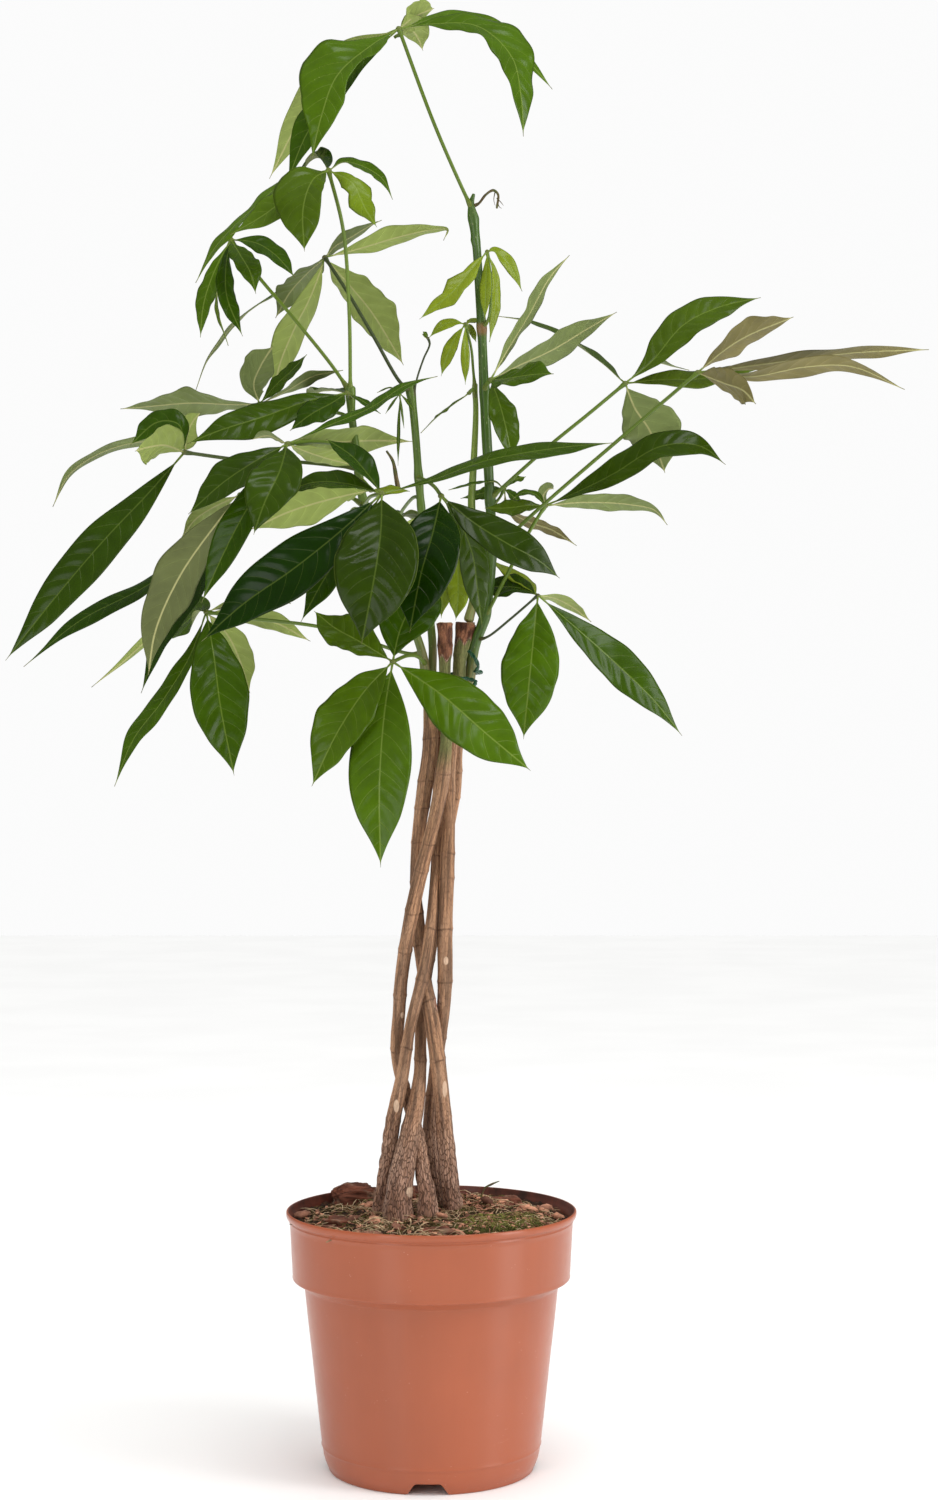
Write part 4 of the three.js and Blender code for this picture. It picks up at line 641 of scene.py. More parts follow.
# The outside as radius and height: the foot's rounded edge, a moulded step above the heel, the wall, a round
# step out to the collar, a bead under the lip and the thin lip
POT_OUTSIDE = [
    (FOOT_RADIUS - 0.9, 0), (FOOT_RADIUS - 0.1, 0.3), (85.0, 1.2), (85.25, 3.1), (86.1, 4.3), (87.0, 6.4),
    (88.0, 9), (HEEL_RADIUS, HEEL_HEIGHT), (90.05, 19.4), (90.5, 20.0), (90.75, 20.7), (90.6, 21.5),
    (90.5, 22.4), (92.7, 41.5), (94.5, 58), (96.3, 74), (98.1, 91), (100.0, 107), (101.9, 123.5),
    (104.0, 143.6), (104.6, 149.0), (104.8, 150.2), (105.5, 151.1), (111.7, 156.5), (112.3, 157.0),
    (112.7, 156.5), (113.6, 156.4), (114.3, 156.9), (114.6, 157.9), (114.4, 159.2), (114.5, 160.8),
    (116.5, 199.3), (116.7, 202.4), (117.1, 202.9), (117.25, 203.5), (117.0, 204.1), (116.9, 204.8),
    (117.3, 205.6), (118.3, 206.2), (119.1, 206.9), (119.6, 208.1), (119.8, 209.6), (119.7, 210.9),
    (119.3, 211.7), (118.6, 212.1), (117.9, 211.9),
]


def pot_profile():
    """The pot's section: out along the underside, up the outside, over the thin lip and down the inside to
    the middle of the floor."""
    inner_foot = FOOT_RADIUS - FOOT_WIDTH
    underside = [
        (FAN_RADIUS, 0), (DISC_RADIUS - 0.8, 0), (DISC_RADIUS, 0.5),
        (CHANNEL_START - 0.5, CHANNEL_HEIGHT - 0.7), (CHANNEL_START + 0.5, CHANNEL_HEIGHT),
        (inner_foot - 1.4, CHANNEL_HEIGHT),
        (inner_foot - 0.5, CHANNEL_HEIGHT - 0.6), (inner_foot + 0.2, 0.5), (inner_foot + 0.9, 0),
    ]
    floor_top = CHANNEL_HEIGHT + FLOOR
    inside = [
        (117.4, 211.2), (117.0, 209.4), (116.0, 206.8), (COLLAR_TOP_RADIUS - WALL, LIP_BOTTOM),
        (COLLAR_RADIUS - WALL, COLLAR_BOTTOM), (NECK_RADIUS - WALL, NECK_HEIGHT),
        (HEEL_RADIUS - WALL, floor_top), (CHANNEL_START - 1, floor_top), (DISC_RADIUS - 1, FLOOR),
        (FAN_RADIUS, FLOOR),
    ]
    return np.vstack([drawn_finely(underside + POT_OUTSIDE, 3.2), drawn_finely(inside, 7)])


def arch_lift(angle):
    """How high an arch lifts the foot's edge: full over its flat top, and a smooth step down each side."""
    pitch = TURN / ARCH_COUNT
    offset = (angle - math.radians(ARCH_TURN) + pitch / 2) % pitch - pitch / 2
    away = np.abs(offset) * FOOT_RADIUS
    return ARCH_HEIGHT * (1 - rise(away, ARCH_WIDTH * 0.24, ARCH_WIDTH * 0.5))


def with_arches(radius, height, angle):
    """The foot ring squeezed upwards where an arch is: heights from 0 to FOOT_TOP go to lift to FOOT_TOP,
    and the outside keeps to its own slope."""
    inner_foot = FOOT_RADIUS - FOOT_WIDTH
    on_foot = (radius > inner_foot - 0.7) & (height < FOOT_TOP) & (radius < HEEL_RADIUS + 0.1)
    lift = arch_lift(angle)
    raised = lift + height * (1 - lift / FOOT_TOP)
    limit = np.where(radius < inner_foot + 1, CHANNEL_HEIGHT - 0.05, FOOT_TOP)
    raised = np.where(on_foot, np.minimum(raised, limit), height)
    slope_radius, slope_height = np.array(POT_OUTSIDE[:FOOT_POINTS]).T
    outside = on_foot & (radius > FOOT_RADIUS - 0.95) & (lift > 0.01)
    before = np.interp(height, slope_height, slope_radius)
    after = np.interp(raised, slope_height, slope_radius)
    return np.where(outside, radius + after - before, radius), raised


def drain_cutters():
    """Upright cylinders where the drain holes are, one behind each arch, that reach past both faces."""
    past = 4
    turn = math.radians(ARCH_TURN) + around(ARCH_COUNT)[:, None, None]
    angle = around(DRAIN_SIDES)[None, None]
    ends = np.array([CHANNEL_HEIGHT - past, CHANNEL_HEIGHT + FLOOR + past])
    height = ends[None, :, None] + 0 * angle * turn
    x = DRAIN_CIRCLE * np.cos(turn) + DRAIN_RADIUS * np.cos(angle) + 0 * height
    y = DRAIN_CIRCLE * np.sin(turn) + DRAIN_RADIUS * np.sin(angle) + 0 * height
    return closed(np.stack([x, y, height], -1) * MM, {})


def mark_inside(mesh):
    """The wall attribute: 1 for the points above the floor's underside and within the outer wall, else 0."""
    place = np.zeros(3 * len(mesh.vertices), np.float32)
    mesh.vertices.foreach_get("co", place)
    x, y, z = place.reshape(-1, 3).T / MM
    radius = np.hypot(x, y)
    heights = [0, HEEL_HEIGHT, NECK_HEIGHT, COLLAR_BOTTOM, LIP_BOTTOM, LIP_TOP]
    outer_wall = [FOOT_RADIUS, HEEL_RADIUS, NECK_RADIUS, COLLAR_RADIUS, COLLAR_TOP_RADIUS, LIP_RADIUS - 0.4]
    above_floor = z > np.interp(radius, [DISC_RADIUS, CHANNEL_START], [0, CHANNEL_HEIGHT]) + 1.5
    inside = above_floor & (radius < np.interp(z, heights, outer_wall) - 1.2)
    values = np.stack([inside, 0 * z, 0 * z], 1).astype(np.float32)
    mesh.attributes.new("wall", "FLOAT_VECTOR", "POINT").data.foreach_set("vector", values.ravel())


def build_pot(material):
    """The pot: its section turned round Z, the foot squeezed into arches, and the drain holes cut out."""
    rings = turned(pot_profile(), POT_SIDES, with_arches)
    pot = add_piece("fine_pot", [closed(rings, {})], [material], ["pot"])
    mesh = put_in_mesh("drain_cutters", [drain_cutters()])
    cutters = bpy.data.objects.new("drain_cutters", mesh)
    bpy.context.scene.collection.objects.link(cutters)
    cut = pot.modifiers.new("Drain holes", "BOOLEAN")
    cut.operation = "DIFFERENCE"
    cut.solver = "EXACT"
    cut.object = cutters
    finished = pot.evaluated_get(bpy.context.evaluated_depsgraph_get())
    pot.data = bpy.data.meshes.new_from_object(finished)
    pot.modifiers.clear()
    bpy.data.objects.remove(cutters)
    mark_inside(pot.data)


# --- Potting mix, bark and moss ----------------------------------


def soil_height(x, y):
    """Height of the potting mix, in millimetres: a low mound, broad bumps and crumbs."""
    mound = SOIL_CROWN * np.exp(-((np.hypot(x, y) / SOIL_CROWN_RADIUS) ** 2))
    bumps = np.sin(x * 0.11 + 1.3) * np.cos(y * 0.13 - 0.4) + 0.6 * np.sin((x + y) * 0.23 + 2.1)
    rough = 1.3 * ripples(11, 0.5, 14, x, y) + 0.8 * ripples(12, 1.5, 18, x, y)
    heap = HEAP_HEIGHT * hill(np.hypot(x - HEAP_X, y - HEAP_Y), 0, HEAP_REACH)
    return SOIL_EDGE + mound + heap + SOIL_BUMP * bumps + rough


def soil_skin():
    """The potting mix: its section turned round Z, up the pot's wall and in over its crumbly top, whose
    height is that of soil_height."""
    floor_top = CHANNEL_HEIGHT + FLOOR + SOIL_GAP
    inset = WALL + SOIL_GAP
    wall = [
        (1, FLOOR + SOIL_GAP), (DISC_RADIUS - 1 - SOIL_GAP, FLOOR + SOIL_GAP),
        (CHANNEL_START - 1 - SOIL_GAP, floor_top), (HEEL_RADIUS - inset, floor_top),
        (NECK_RADIUS - inset, NECK_HEIGHT), (COLLAR_RADIUS - inset, COLLAR_BOTTOM),
        (SOIL_RADIUS, SOIL_SHOULDER),
    ]
    top = [(radius, 0) for radius in np.linspace(SOIL_RADIUS, 0.6, 92)]

    def crumbled(radius, height, angle):
        crumbs = soil_height(radius * np.cos(angle), radius * np.sin(angle))
        return radius, np.where(np.arange(len(radius))[:, None] >= len(wall), crumbs, height)

    rings = turned(wall + top, 300, crumbled)
    return closed(rings, {"scrap": np.zeros((1, 1, 1, 3))})


def scattered(draw, count, reach, middle=(0, 0)):
    """Random x, y spots, evenly over a disc: the radius goes by the root of an even draw."""
    radius = reach * np.sqrt(draw.uniform(0, 1, count))
    angle = draw.uniform(0, TURN, count)
    return middle[0] + radius * np.cos(angle), middle[1] + radius * np.sin(angle)


def chip_skin(seed, count, smallest, largest, tones, reach=108.0, middle=(0, 0), base=None):
    """Flat scraps of bark: spheres of four rings, pressed into slabs of three half sizes, each with its own
    uneven corners, lean and turn. They lie on the mix, or on the surface that base gives."""
    draw = np.random.default_rng(seed)
    x, y = scattered(draw, count, reach, middle)
    long = smallest * (largest / smallest) ** draw.uniform(0, 1, count) / 2
    wide = long * draw.uniform(0.35, 0.8, count)
    high = long * draw.uniform(0.15, 0.4, count)
    polar = np.radians([28, 72, 108, 152])[None, :, None]
    angle = around(6)[None, None]
    uneven = draw.uniform(0.75, 1.2, (count, 4, 6))
    flat = np.sin(polar)
    part = np.stack([flat * np.cos(angle), flat * np.sin(angle), np.cos(polar) + 0 * angle], -1)
    part = part * uneven[..., None] * np.stack([long, wide, high], -1)[:, None, None]
    part = leaned(part, draw.uniform(-0.5, 0.5, count), draw.uniform(0, TURN, count))
    sunk = (base or soil_height)(x, y) + high * draw.uniform(-0.1, 1.0, count)
    rings = (part + np.stack([x, y, sunk], -1)[:, None, None]) * MM
    tone = np.stack([draw.choice(tones, count), draw.uniform(0, 1, count), draw.uniform(0, 1, count)], -1)
    return closed(rings, {"scrap": tone[:, None, None]})


def leaned(part, lean, turn):
    """Points leaned about Y by lean and then turned about Z by turn, for each of many copies."""
    shape = (-1,) + (1,) * (part.ndim - 2)
    lean, turn = lean.reshape(shape), turn.reshape(shape)
    x, y, z = np.moveaxis(part, -1, 0)
    x, z = x * np.cos(lean) + z * np.sin(lean), z * np.cos(lean) - x * np.sin(lean)
    return np.stack([x * np.cos(turn) - y * np.sin(turn), x * np.sin(turn) + y * np.cos(turn), z], -1)


def strand_skin(seed, count, shortest, longest, thickness, rise_by, tones,
                reach=106.0, middle=(0, 0), base=None):
    """Fine strands of straw or moss: a three-sided thread carried along a parabola that starts in the mix,
    rises and comes down again, with its own turn and bend."""
    draw = np.random.default_rng(seed)
    x, y = scattered(draw, count, reach, middle)
    long = draw.uniform(shortest, longest, count)[:, None]
    t = np.linspace(0, 1, 5)[None]
    bend = draw.uniform(-0.5, 0.5, count)[:, None]
    lift = draw.uniform(0.2, 1.0, count)[:, None] * rise_by
    line = np.stack([long * (t - 0.5), long * bend * (t * t - t), lift * 4 * t * (1 - t) - 0.6], -1)
    line = leaned(line, draw.uniform(-0.25, 0.25, count), draw.uniform(0, TURN, count))
    ground = (base or soil_height)(x, y)
    line = line + np.stack([x, y, ground], -1)[:, None]
    along = unit(np.gradient(line, axis=1))
    across = unit(np.cross(along, np.array([0.0, 0.0, 1.0])))
    other = np.cross(along, across)
    angle = around(3)[None, None, :, None]
    taper = (thickness * (1 - 0.5 * t))[..., None, None]
    spoke = np.cos(angle) * across[:, :, None] + np.sin(angle) * other[:, :, None]
    rings = line[:, :, None] + taper * spoke
    tone = np.stack([draw.choice(tones, count), draw.uniform(0, 1, count), draw.uniform(0, 1, count)], -1)
    return closed(rings * MM, {"scrap": tone[:, None, None]})


def bark_skin(row, seed):
    """A chunk of bark: a rounded block whose sides are pressed flat by a low power, with layered ridges that
    run along it."""
    x, y, low, long, wide, high, turn = row
    polar = np.linspace(0.04, math.pi - 0.04, 44)[:, None]
    angle = around(72)[None]

    def pressed(value, power):
        return np.sign(value) * np.abs(value) ** power

    px = pressed(np.cos(polar), 0.62) + 0 * angle
    py = pressed(np.sin(polar), 0.62) * pressed(np.cos(angle), 0.7)
    pz = pressed(np.sin(polar), 0.62) * pressed(np.sin(angle), 0.7)
    layers = 0.05 * np.sin(9 * pz + 2.5 * ripples(seed, 4, 6, px, py, pz))
    ridges = 0.09 * ripples(seed + 1, 14, 12, 0.5 * px, py, pz) + 0.16 * ripples(seed + 2, 4, 8, px, py, pz)
    swell = 0.86 + layers + ridges + 0.03 * ripples(seed + 3, 30, 16, 0.5 * px, py, pz)
    part = np.stack([px * swell * long / 2, py * swell * wide / 2, pz * swell * high / 2], -1)
    part = leaned(part[None], np.array([0.0]), np.array([math.radians(turn)]))[0]
    rings = (part + np.array([x, y, low + high / 2])) * MM
    grain = np.stack([px * long / 2, py * wide / 2, pz * high / 2], -1) * MM
    return closed(rings, {"grain": grain})


def moss_height(x, y):
    """Height of the moss cushion over a spot: a low oval dome with uneven tufts."""
    turn = math.radians(MOSS_TURN)
    u = ((x - MOSS_X) * math.cos(turn) + (y - MOSS_Y) * math.sin(turn)) / MOSS_LONG
    v = ((y - MOSS_Y) * math.cos(turn) - (x - MOSS_X) * math.sin(turn)) / MOSS_SHORT
    dome = np.sqrt(np.clip(1 - u * u - v * v, 0, 1))
    middle = (MOSS_TOP + MOSS_BASE) / 2
    tufts = (1.1 * ripples(41, 0.9, 16, x, y) + 1.5 * ripples(42, 0.25, 12, x, y)) * np.minimum(1, 3 * dome)
    return middle + (MOSS_TOP - MOSS_BASE) * 0.36 * dome**0.8 + tufts


def moss_skin():
    """The moss cushion: an oval dome with tufts above, and a plain bowl below in the soil."""
    turn = math.radians(MOSS_TURN)
    bowl_rings, dome_rings = 14, 40
    below = np.linspace(0.02, 0.97, bowl_rings)
    reach = np.concatenate([below, np.linspace(1, 0.02, dome_rings)])[:, None]
    angle = around(110)[None]
    u, v = reach * np.cos(angle) * MOSS_LONG, reach * np.sin(angle) * MOSS_SHORT
    x = MOSS_X + u * math.cos(turn) - v * math.sin(turn)
    y = MOSS_Y + u * math.sin(turn) + v * math.cos(turn)
    middle = (MOSS_TOP + MOSS_BASE) / 2
    bowl = middle - (MOSS_TOP - MOSS_BASE) / 2 * np.sqrt(1 - np.minimum(reach, 1) ** 2) + 0 * angle
    in_bowl = np.arange(len(reach))[:, None] < bowl_rings
    height = np.where(in_bowl, bowl, moss_height(x, y))
    return closed(np.stack([x, y, height], -1) * MM, {"scrap": np.zeros((1, 1, 1, 3))})


def build_soil(mix, scraps, bark, moss):
    """The potting mix with its scraps and straws, the lumps of bark and the moss. Scraps and strands lie all
    over the mix, and more of them on the heap and over the moss."""
    add_piece("potting_mix", [soil_skin()], [mix], ["soil"])
    chips = [
        chip_skin(21, 2200, 2, 7.5, [0.0, 0.0, 0.15, 0.3]),
        chip_skin(22, 90, 10, 22, [0.0, 0.3]),
        chip_skin(23, 1300, 1.6, 4.5, [0.0, 0.0, 0.15], 26, (HEAP_X, HEAP_Y)),
        chip_skin(24, 420, 1.6, 6.0, [0.0, 0.0, 0.3], MOSS_SPREAD, (MOSS_X, MOSS_Y), moss_height),
    ]
    add_piece("bark_scraps", chips, [scraps])
    strands = [
        strand_skin(31, 520, 8, 34, 0.4, 5, [0.9, 0.9, 1.0]),
        strand_skin(32, 2600, 5, 16, 0.35, 3.4, [0.45, 0.45, 0.6, 0.9]),
        strand_skin(34, 34, 8, 22, 0.75, 5, [1.0], 42, (-42, -62)),
        strand_skin(35, 700, 4, 13, 0.4, 2.6, [0.0, 0.45, 0.9], MOSS_SPREAD, (MOSS_X, MOSS_Y), moss_height),
    ]
    add_piece("straws", strands, [scraps])
    for number, row in enumerate(BARK_LUMPS, 1):
        lump = bark_skin(row, 50 + 5 * number)
        add_piece(f"bark_lump_{number}", [lump], [bark], [f"bark_{number}"])
    tufts = strand_skin(33, 1900, 4, 9, 0.5, 2.2, [0.5, 0.55, 0.6], 34.0, (MOSS_X, MOSS_Y), moss_height)
    add_piece("moss_cushion", [moss_skin(), tufts], [moss], ["moss"])


# --- Trunks, shoots, tie -----------------------------------------

# x, z, half width and half height of the pale scars on the trunks' fronts
SCARS = [
    (-29, 297, 2.4, 5.5), (12, 417, 2, 3.5), (11, 311, 2, 7), (-17.5, 226, 3.4, 4.5), (-24, 372, 1.6, 2.6),
    (22, 262, 1.6, 3), (-32, 450, 1.4, 3),
]
WOUND = (4.5, 385, 2.4, 9)  # a larger open one

# The heights from which the bark is still green, and from which a cut top is dry and brown
GREEN_FROM = {
    "trunk_left": 660, "trunk_front": 570, "trunk_right": 626, "trunk_front_left": 640,
    "trunk_back_right": 610,
}
STUB_FROM = {"trunk_front": 667, "trunk_right": 681}
ROUGH_TOP = 330  # the rough old bark fades out from the foot up to here
FLARE_TOP = 232  # the roots spread below this height


def ring_places(seed):
    """How far up a trunk the rings of its old leaves are, in millimetres."""
    return np.cumsum(np.random.default_rng(seed).uniform(20, 62, 18)) + 60


def trunk_relief(seed, name):
    """Bumps on a trunk's bark, in millimetres: lengthwise ridges, a ring at each old leaf's place, soft
    swells, rough fissured bark at the foot and flakes on a cut top."""
    draw = np.random.default_rng(seed + 4)
    lobes = draw.integers(3, 10, 6)
    starts = draw.uniform(0, TURN, 6)
    drift = draw.uniform(-0.02, 0.02, 6)

    def relief(run, angle, height):
        ridges = sum(np.sin(k * angle + s + d * run) for k, s, d in zip(lobes, starts, drift)) / 6
        skew = run + 1.5 * np.cos(angle + 0.4 * seed)
        rings = sum(hill(skew, place, 1.1) + 0.7 * hill(skew, place + 1, 5) for place in ring_places(seed))
        cx, cy = np.cos(angle), np.sin(angle)
        swells = ripples(seed + 1, 0.09, 8, run + 0 * angle, 20 * cx, 20 * cy)
        fissures = np.abs(ripples(seed + 2, 0.45, 16, 0.8 * run + 0 * angle, 24 * cx, 24 * cy))
        foot = 1 - rise(height, 218, ROUGH_TOP)
        flare = 1 - rise(height, 200, FLARE_TOP)
        flakes = ripples(seed + 3, 0.8, 12, 0.5 * run + 0 * angle, 7 * cx, 7 * cy)
        stub = rise(height, STUB_FROM[name] - 4, STUB_FROM[name] + 4) if name in STUB_FROM else 0
        roots = 1.8 * np.maximum(0, np.sin(3 * angle + seed)) * flare
        bark = 0.3 * ridges + 0.36 * rings * (1 - 0.6 * foot) + 0.4 * swells + foot * (0.9 * fissures - 0.4)
        return bark + roots + stub * (0.55 * flakes + 0.15)

    return relief


def blotch(x, z, row):
    """1 in an oval and 0 round it: exp(-d^4), where d is the distance from its middle in half widths and
    half heights."""
    middle_x, middle_z, wide, high = row
    return np.exp(-(((x - middle_x) / wide) ** 2 + ((z - middle_z) / high) ** 2) ** 2)


def trunk_tone(seed, name):
    """What colours a trunk: how green it is, how rough and brown, and how scarred (below 0 on its rings)."""

    def tone(rings, run):
        x, z = as_seen(rings)
        green = rise(z, GREEN_FROM[name], GREEN_FROM[name] + 28)
        ragged = z + 2.5 * np.sin(0.8 * x + seed)
        stub = rise(ragged, STUB_FROM[name] - 2, STUB_FROM[name] + 2) if name in STUB_FROM else 0 * z
        rough = 1 - rise(z, 214, ROUGH_TOP)
        front = rings[..., 1] < rings[..., 1].mean(1, keepdims=True)
        scar = sum(blotch(x, z, row) for row in SCARS) * front
        wound = blotch(x, z, WOUND) * front
        skew = run + 1.5 * np.cos(around(run.shape[1])[None] + 0.4 * seed)
        old_leaves = sum(hill(skew, place - 1.4, 0.9) for place in ring_places(seed)) * (1 - rough)
        return np.stack([green * (1 - stub), rough + 2 * np.maximum(stub, wound), scar - old_leaves], -1)

    return tone


def build_trunks(bark, cut):
    """Five trunks: a round section with bark relief carried along each trunk's own path."""
    for number, (name, rows) in enumerate(TRUNKS.items()):
        x, _, depth, radius = rows[0]
        rooted = [(x, TRUNK_FOOT, depth, radius * 0.8)] + rows
        flatness = 0.08 if name in STUB_FROM else 0.6
        seed = 60 + 7 * number
        relief, tone = trunk_relief(seed, name), trunk_tone(seed, name)
        skins = [stem(rooted, 60, 1.2 * MM, relief, tone, flatness=flatness)]
        materials = [bark]
        if name in STUB_FROM:
            skins.append(cut_face(rows))
            materials.append(cut)
        add_piece("fine_" + name, skins, materials, [name])


def cut_face(rows):
    """The dry cut wood on a trunk's top: a thin disc with a sunken pith, a little inside the bark."""
    x, z, depth, radius = rows[-1]
    centre = seen([(x, z, depth)])[0] / MM
    lower_rings, upper_rings = 4, 12
    below = np.linspace(0.05, 0.9, lower_rings)
    reach = np.concatenate([below, np.linspace(0.9, 0.05, upper_rings)])[:, None]
    angle = around(40)[None]
    top = np.arange(len(reach))[:, None] >= lower_rings
    pith = -0.9 * hill(reach, 0, 0.3) + 0.25 * ripples(91, 6, 8, reach * np.cos(angle), reach * np.sin(angle))
    height = np.where(top, 0.75 + pith, -2.0)
    part = np.stack([reach * radius * np.cos(angle), reach * radius * np.sin(angle), height + 0 * angle], -1)
    grain = part * MM
    return closed((part + centre) * MM, {"grain": grain, "tone": np.zeros_like(grain)}, 1)


# x and z of the swellings where leaves have grown or fallen, how far they reach and how high they are
KNOTS = [
    (36, 1032, 7, 1.0), (40, 1012, 3, 1.1), (42, 940, 6, 0.8), (44, 888, 7, 0.8), (49, 798, 7, 0.8),
    (50, 755, 7, 0.7), (44, 702, 7, 0.8), (-67, 886, 8, 0.7), (-62, 836, 7, 0.7), (-57, 796, 8, 0.8),
    (-17, 889, 8, 0.7), (-10.6, 816, 7, 0.8), (35, 764, 7, 0.5), (36, 889, 6, 0.4), (-60, 818, 6, 0.5),
    (-8.6, 792, 6, 0.5),
]
KNOT_WIDTH = 12
RING_HEIGHT = 939  # of the brown ring round the main shoot


def shoot_relief(seed):
    """Bumps on a shoot, in millimetres: faint lengthwise ridges and a fine unevenness."""

    def relief(run, angle, height):
        ridges = 0.1 * np.sin(5 * angle + 0.02 * run + seed) + 0.06 * np.sin(9 * angle - 0.03 * run)
        cx, cy = np.cos(angle), np.sin(angle)
        return ridges + 0.12 * ripples(seed, 0.12, 10, run + 0 * angle, 12 * cx, 12 * cy)

    return relief


def swollen(skin):
    """The skin pushed out sideways near the knots: a bell of the distance times each knot's height."""
    x, z = as_seen(skin["places"])
    push = np.zeros_like(skin["places"])
    for knot_x, knot_z, reach, height in KNOTS:
        beside = x - knot_x
        near = np.exp(-(((z - knot_z) / reach) ** 2 + (beside / KNOT_WIDTH) ** 2))
        push[:, 0] += near * height * MM * np.sign(beside) * np.minimum(1, np.abs(beside) / 3)
    skin["places"] = skin["places"] + push
    return skin


def shoot_tone(name):
    """What colours a shoot: how light its green is, the brown ring, and cork near its foot."""
    light = {"shoot_main": 0.1, "shoot_second": 0.9, "shoot_left": 0.45, "shoot_mid": 0.35}[name]

    def tone(rings, run):
        x, z = as_seen(rings)
        ring = np.exp(-(((z - RING_HEIGHT) / 5) ** 4)) if name == "shoot_main" else 0 * z
        foot = 1 - rise(run, 6, 40)
        return np.stack([light + 0 * z, ring, foot], -1)

    return tone


def build_shoots(green, dry):
    """Four green shoots, the withered bud on the main one, the dead stalk and a twig that lies in the
    soil."""
    for number, (name, rows) in enumerate(SHOOTS.items()):
        skin = stem(rows, 36, 1.8 * MM, shoot_relief(120 + number), shoot_tone(name))
        add_piece("fine_" + name, [swollen(skin)], [green], [name])
    bud = stem(WITHERED_BUD, 14, 0.7 * MM, withered_relief(131), reference=(0, 1, 0))
    threads = [stem(rows, 8, 0.6 * MM, reference=(0, 1, 0)) for rows in BUD_THREADS]
    add_piece("fine_withered_bud", [bud] + threads, [dry], ["withered_bud"])
    stalk = stem(DEAD_STALK, 16, 0.7 * MM, withered_relief(132))
    add_piece("fine_dead_stalk", [stalk], [dry], ["dead_stalk"])
    twig = stem(TWIG, 10, 0.8 * MM, withered_relief(133))
    add_piece("twig_in_soil", [twig], [dry])


def withered_relief(seed):
    """Shrivelled skin, in millimetres: sharp lengthwise wrinkles."""

    def relief(run, angle, height):
        return 0.22 * np.abs(np.sin(3 * angle + 0.3 * run + seed)) - 0.15

    return relief


def build_tie(material):
    """The tie: a section of two lobes that turns as it is carried along the loop, as twisted wire does."""
    share = np.linspace(0, 1, 40)
    angle = np.radians(TIE_FROM + TIE_SWEEP * share)
    loop = np.stack(
        [TIE_X + TIE_LONG * np.cos(angle), TIE_TOP + (TIE_BOTTOM - TIE_TOP) * share,
         TIE_DEPTH + TIE_SHORT * np.sin(angle)], 1
    )
    rows = np.vstack([TIE_UPPER_END, loop, TIE_LOWER_END])
    rows = np.hstack([rows, np.full((len(rows), 1), TIE_RADIUS)])

    def twist(run, angle, height):
        """Two lobes, as bumps on the radius, that turn by 0.6 of a radian for each millimetre."""
        return 0.75 * np.abs(np.cos(angle - 0.6 * run)) - 0.55

    skin = stem(rows, 20, 0.45 * MM, twist, reference=(0, 0, 1))
    add_piece("twisted_tie", [skin], [material], ["tie_wire"])


# --- Leaves ------------------------------------------------------

PETIOLES = [(6, 0.8), (22, 1.1), (math.inf, 1.5)]  # leaflets up to this width, and their petiole's radius
THIN_PETIOLES = {"leaf_right_hanging": 1.0}  # radius of a petiole that is thinner than that
LARGE_FROM = 24  # a leaflet at least this wide gets the finer grid
VEIN_SPACING = 13
BLADE_THICKNESS = 0.5
STALK_SHARE = 0.05  # share of a leaflet's length that is its own stalk


def blade_half(t, width):
    """Half the width of a leaflet at a share t of its length: a sine arch that is widest near the middle,
    wedge-shaped at the base, drawn in before the tip and ended by a narrow drip tip."""
    s = np.clip((t - STALK_SHARE) / (1 - STALK_SHARE), 0, 1)
    arch = np.sin(math.pi * np.clip(s / 0.975, 0, 1) ** 1.1) ** 0.92
    arch = arch * (1 - 0.35 * rise(s, 0.76, 0.98))
    tail = 0.62 * (1 - s) * rise(s, 0.5, 0.8)
    share = (arch**3 + tail**3) ** (1 / 3)
    stalk = 0.75 * (1 - rise(t, 0.02, 0.12)) + 0.25 * (1 - 0.6 * t)
    return np.maximum(width / 2 * share, stalk) * MM


def sight_faces(place, along, tilt_base, tilt_tip, t):
    """The upper face's direction at each station: from facing the viewer it turns by the tilt to the sky."""
    viewer = np.array([VIEW_X, -VIEW_DISTANCE, VIEW_HEIGHT]) * MM
    chord = unit(place[-1] - place[0])
    middle = viewer - place[len(place) // 2]
    face = unit(middle - chord * (middle @ chord))
    skyward = 1 if np.cross(chord, face)[2] >= 0 else -1
    sight = viewer - place
    front = unit(sight - along * np.sum(sight * along, 1, keepdims=True))
    up = np.cross(along, front) * skyward
    tilt = np.radians(tilt_base + (tilt_tip - tilt_base) * t)[:, None]
    return front * np.cos(tilt) + up * np.sin(tilt)


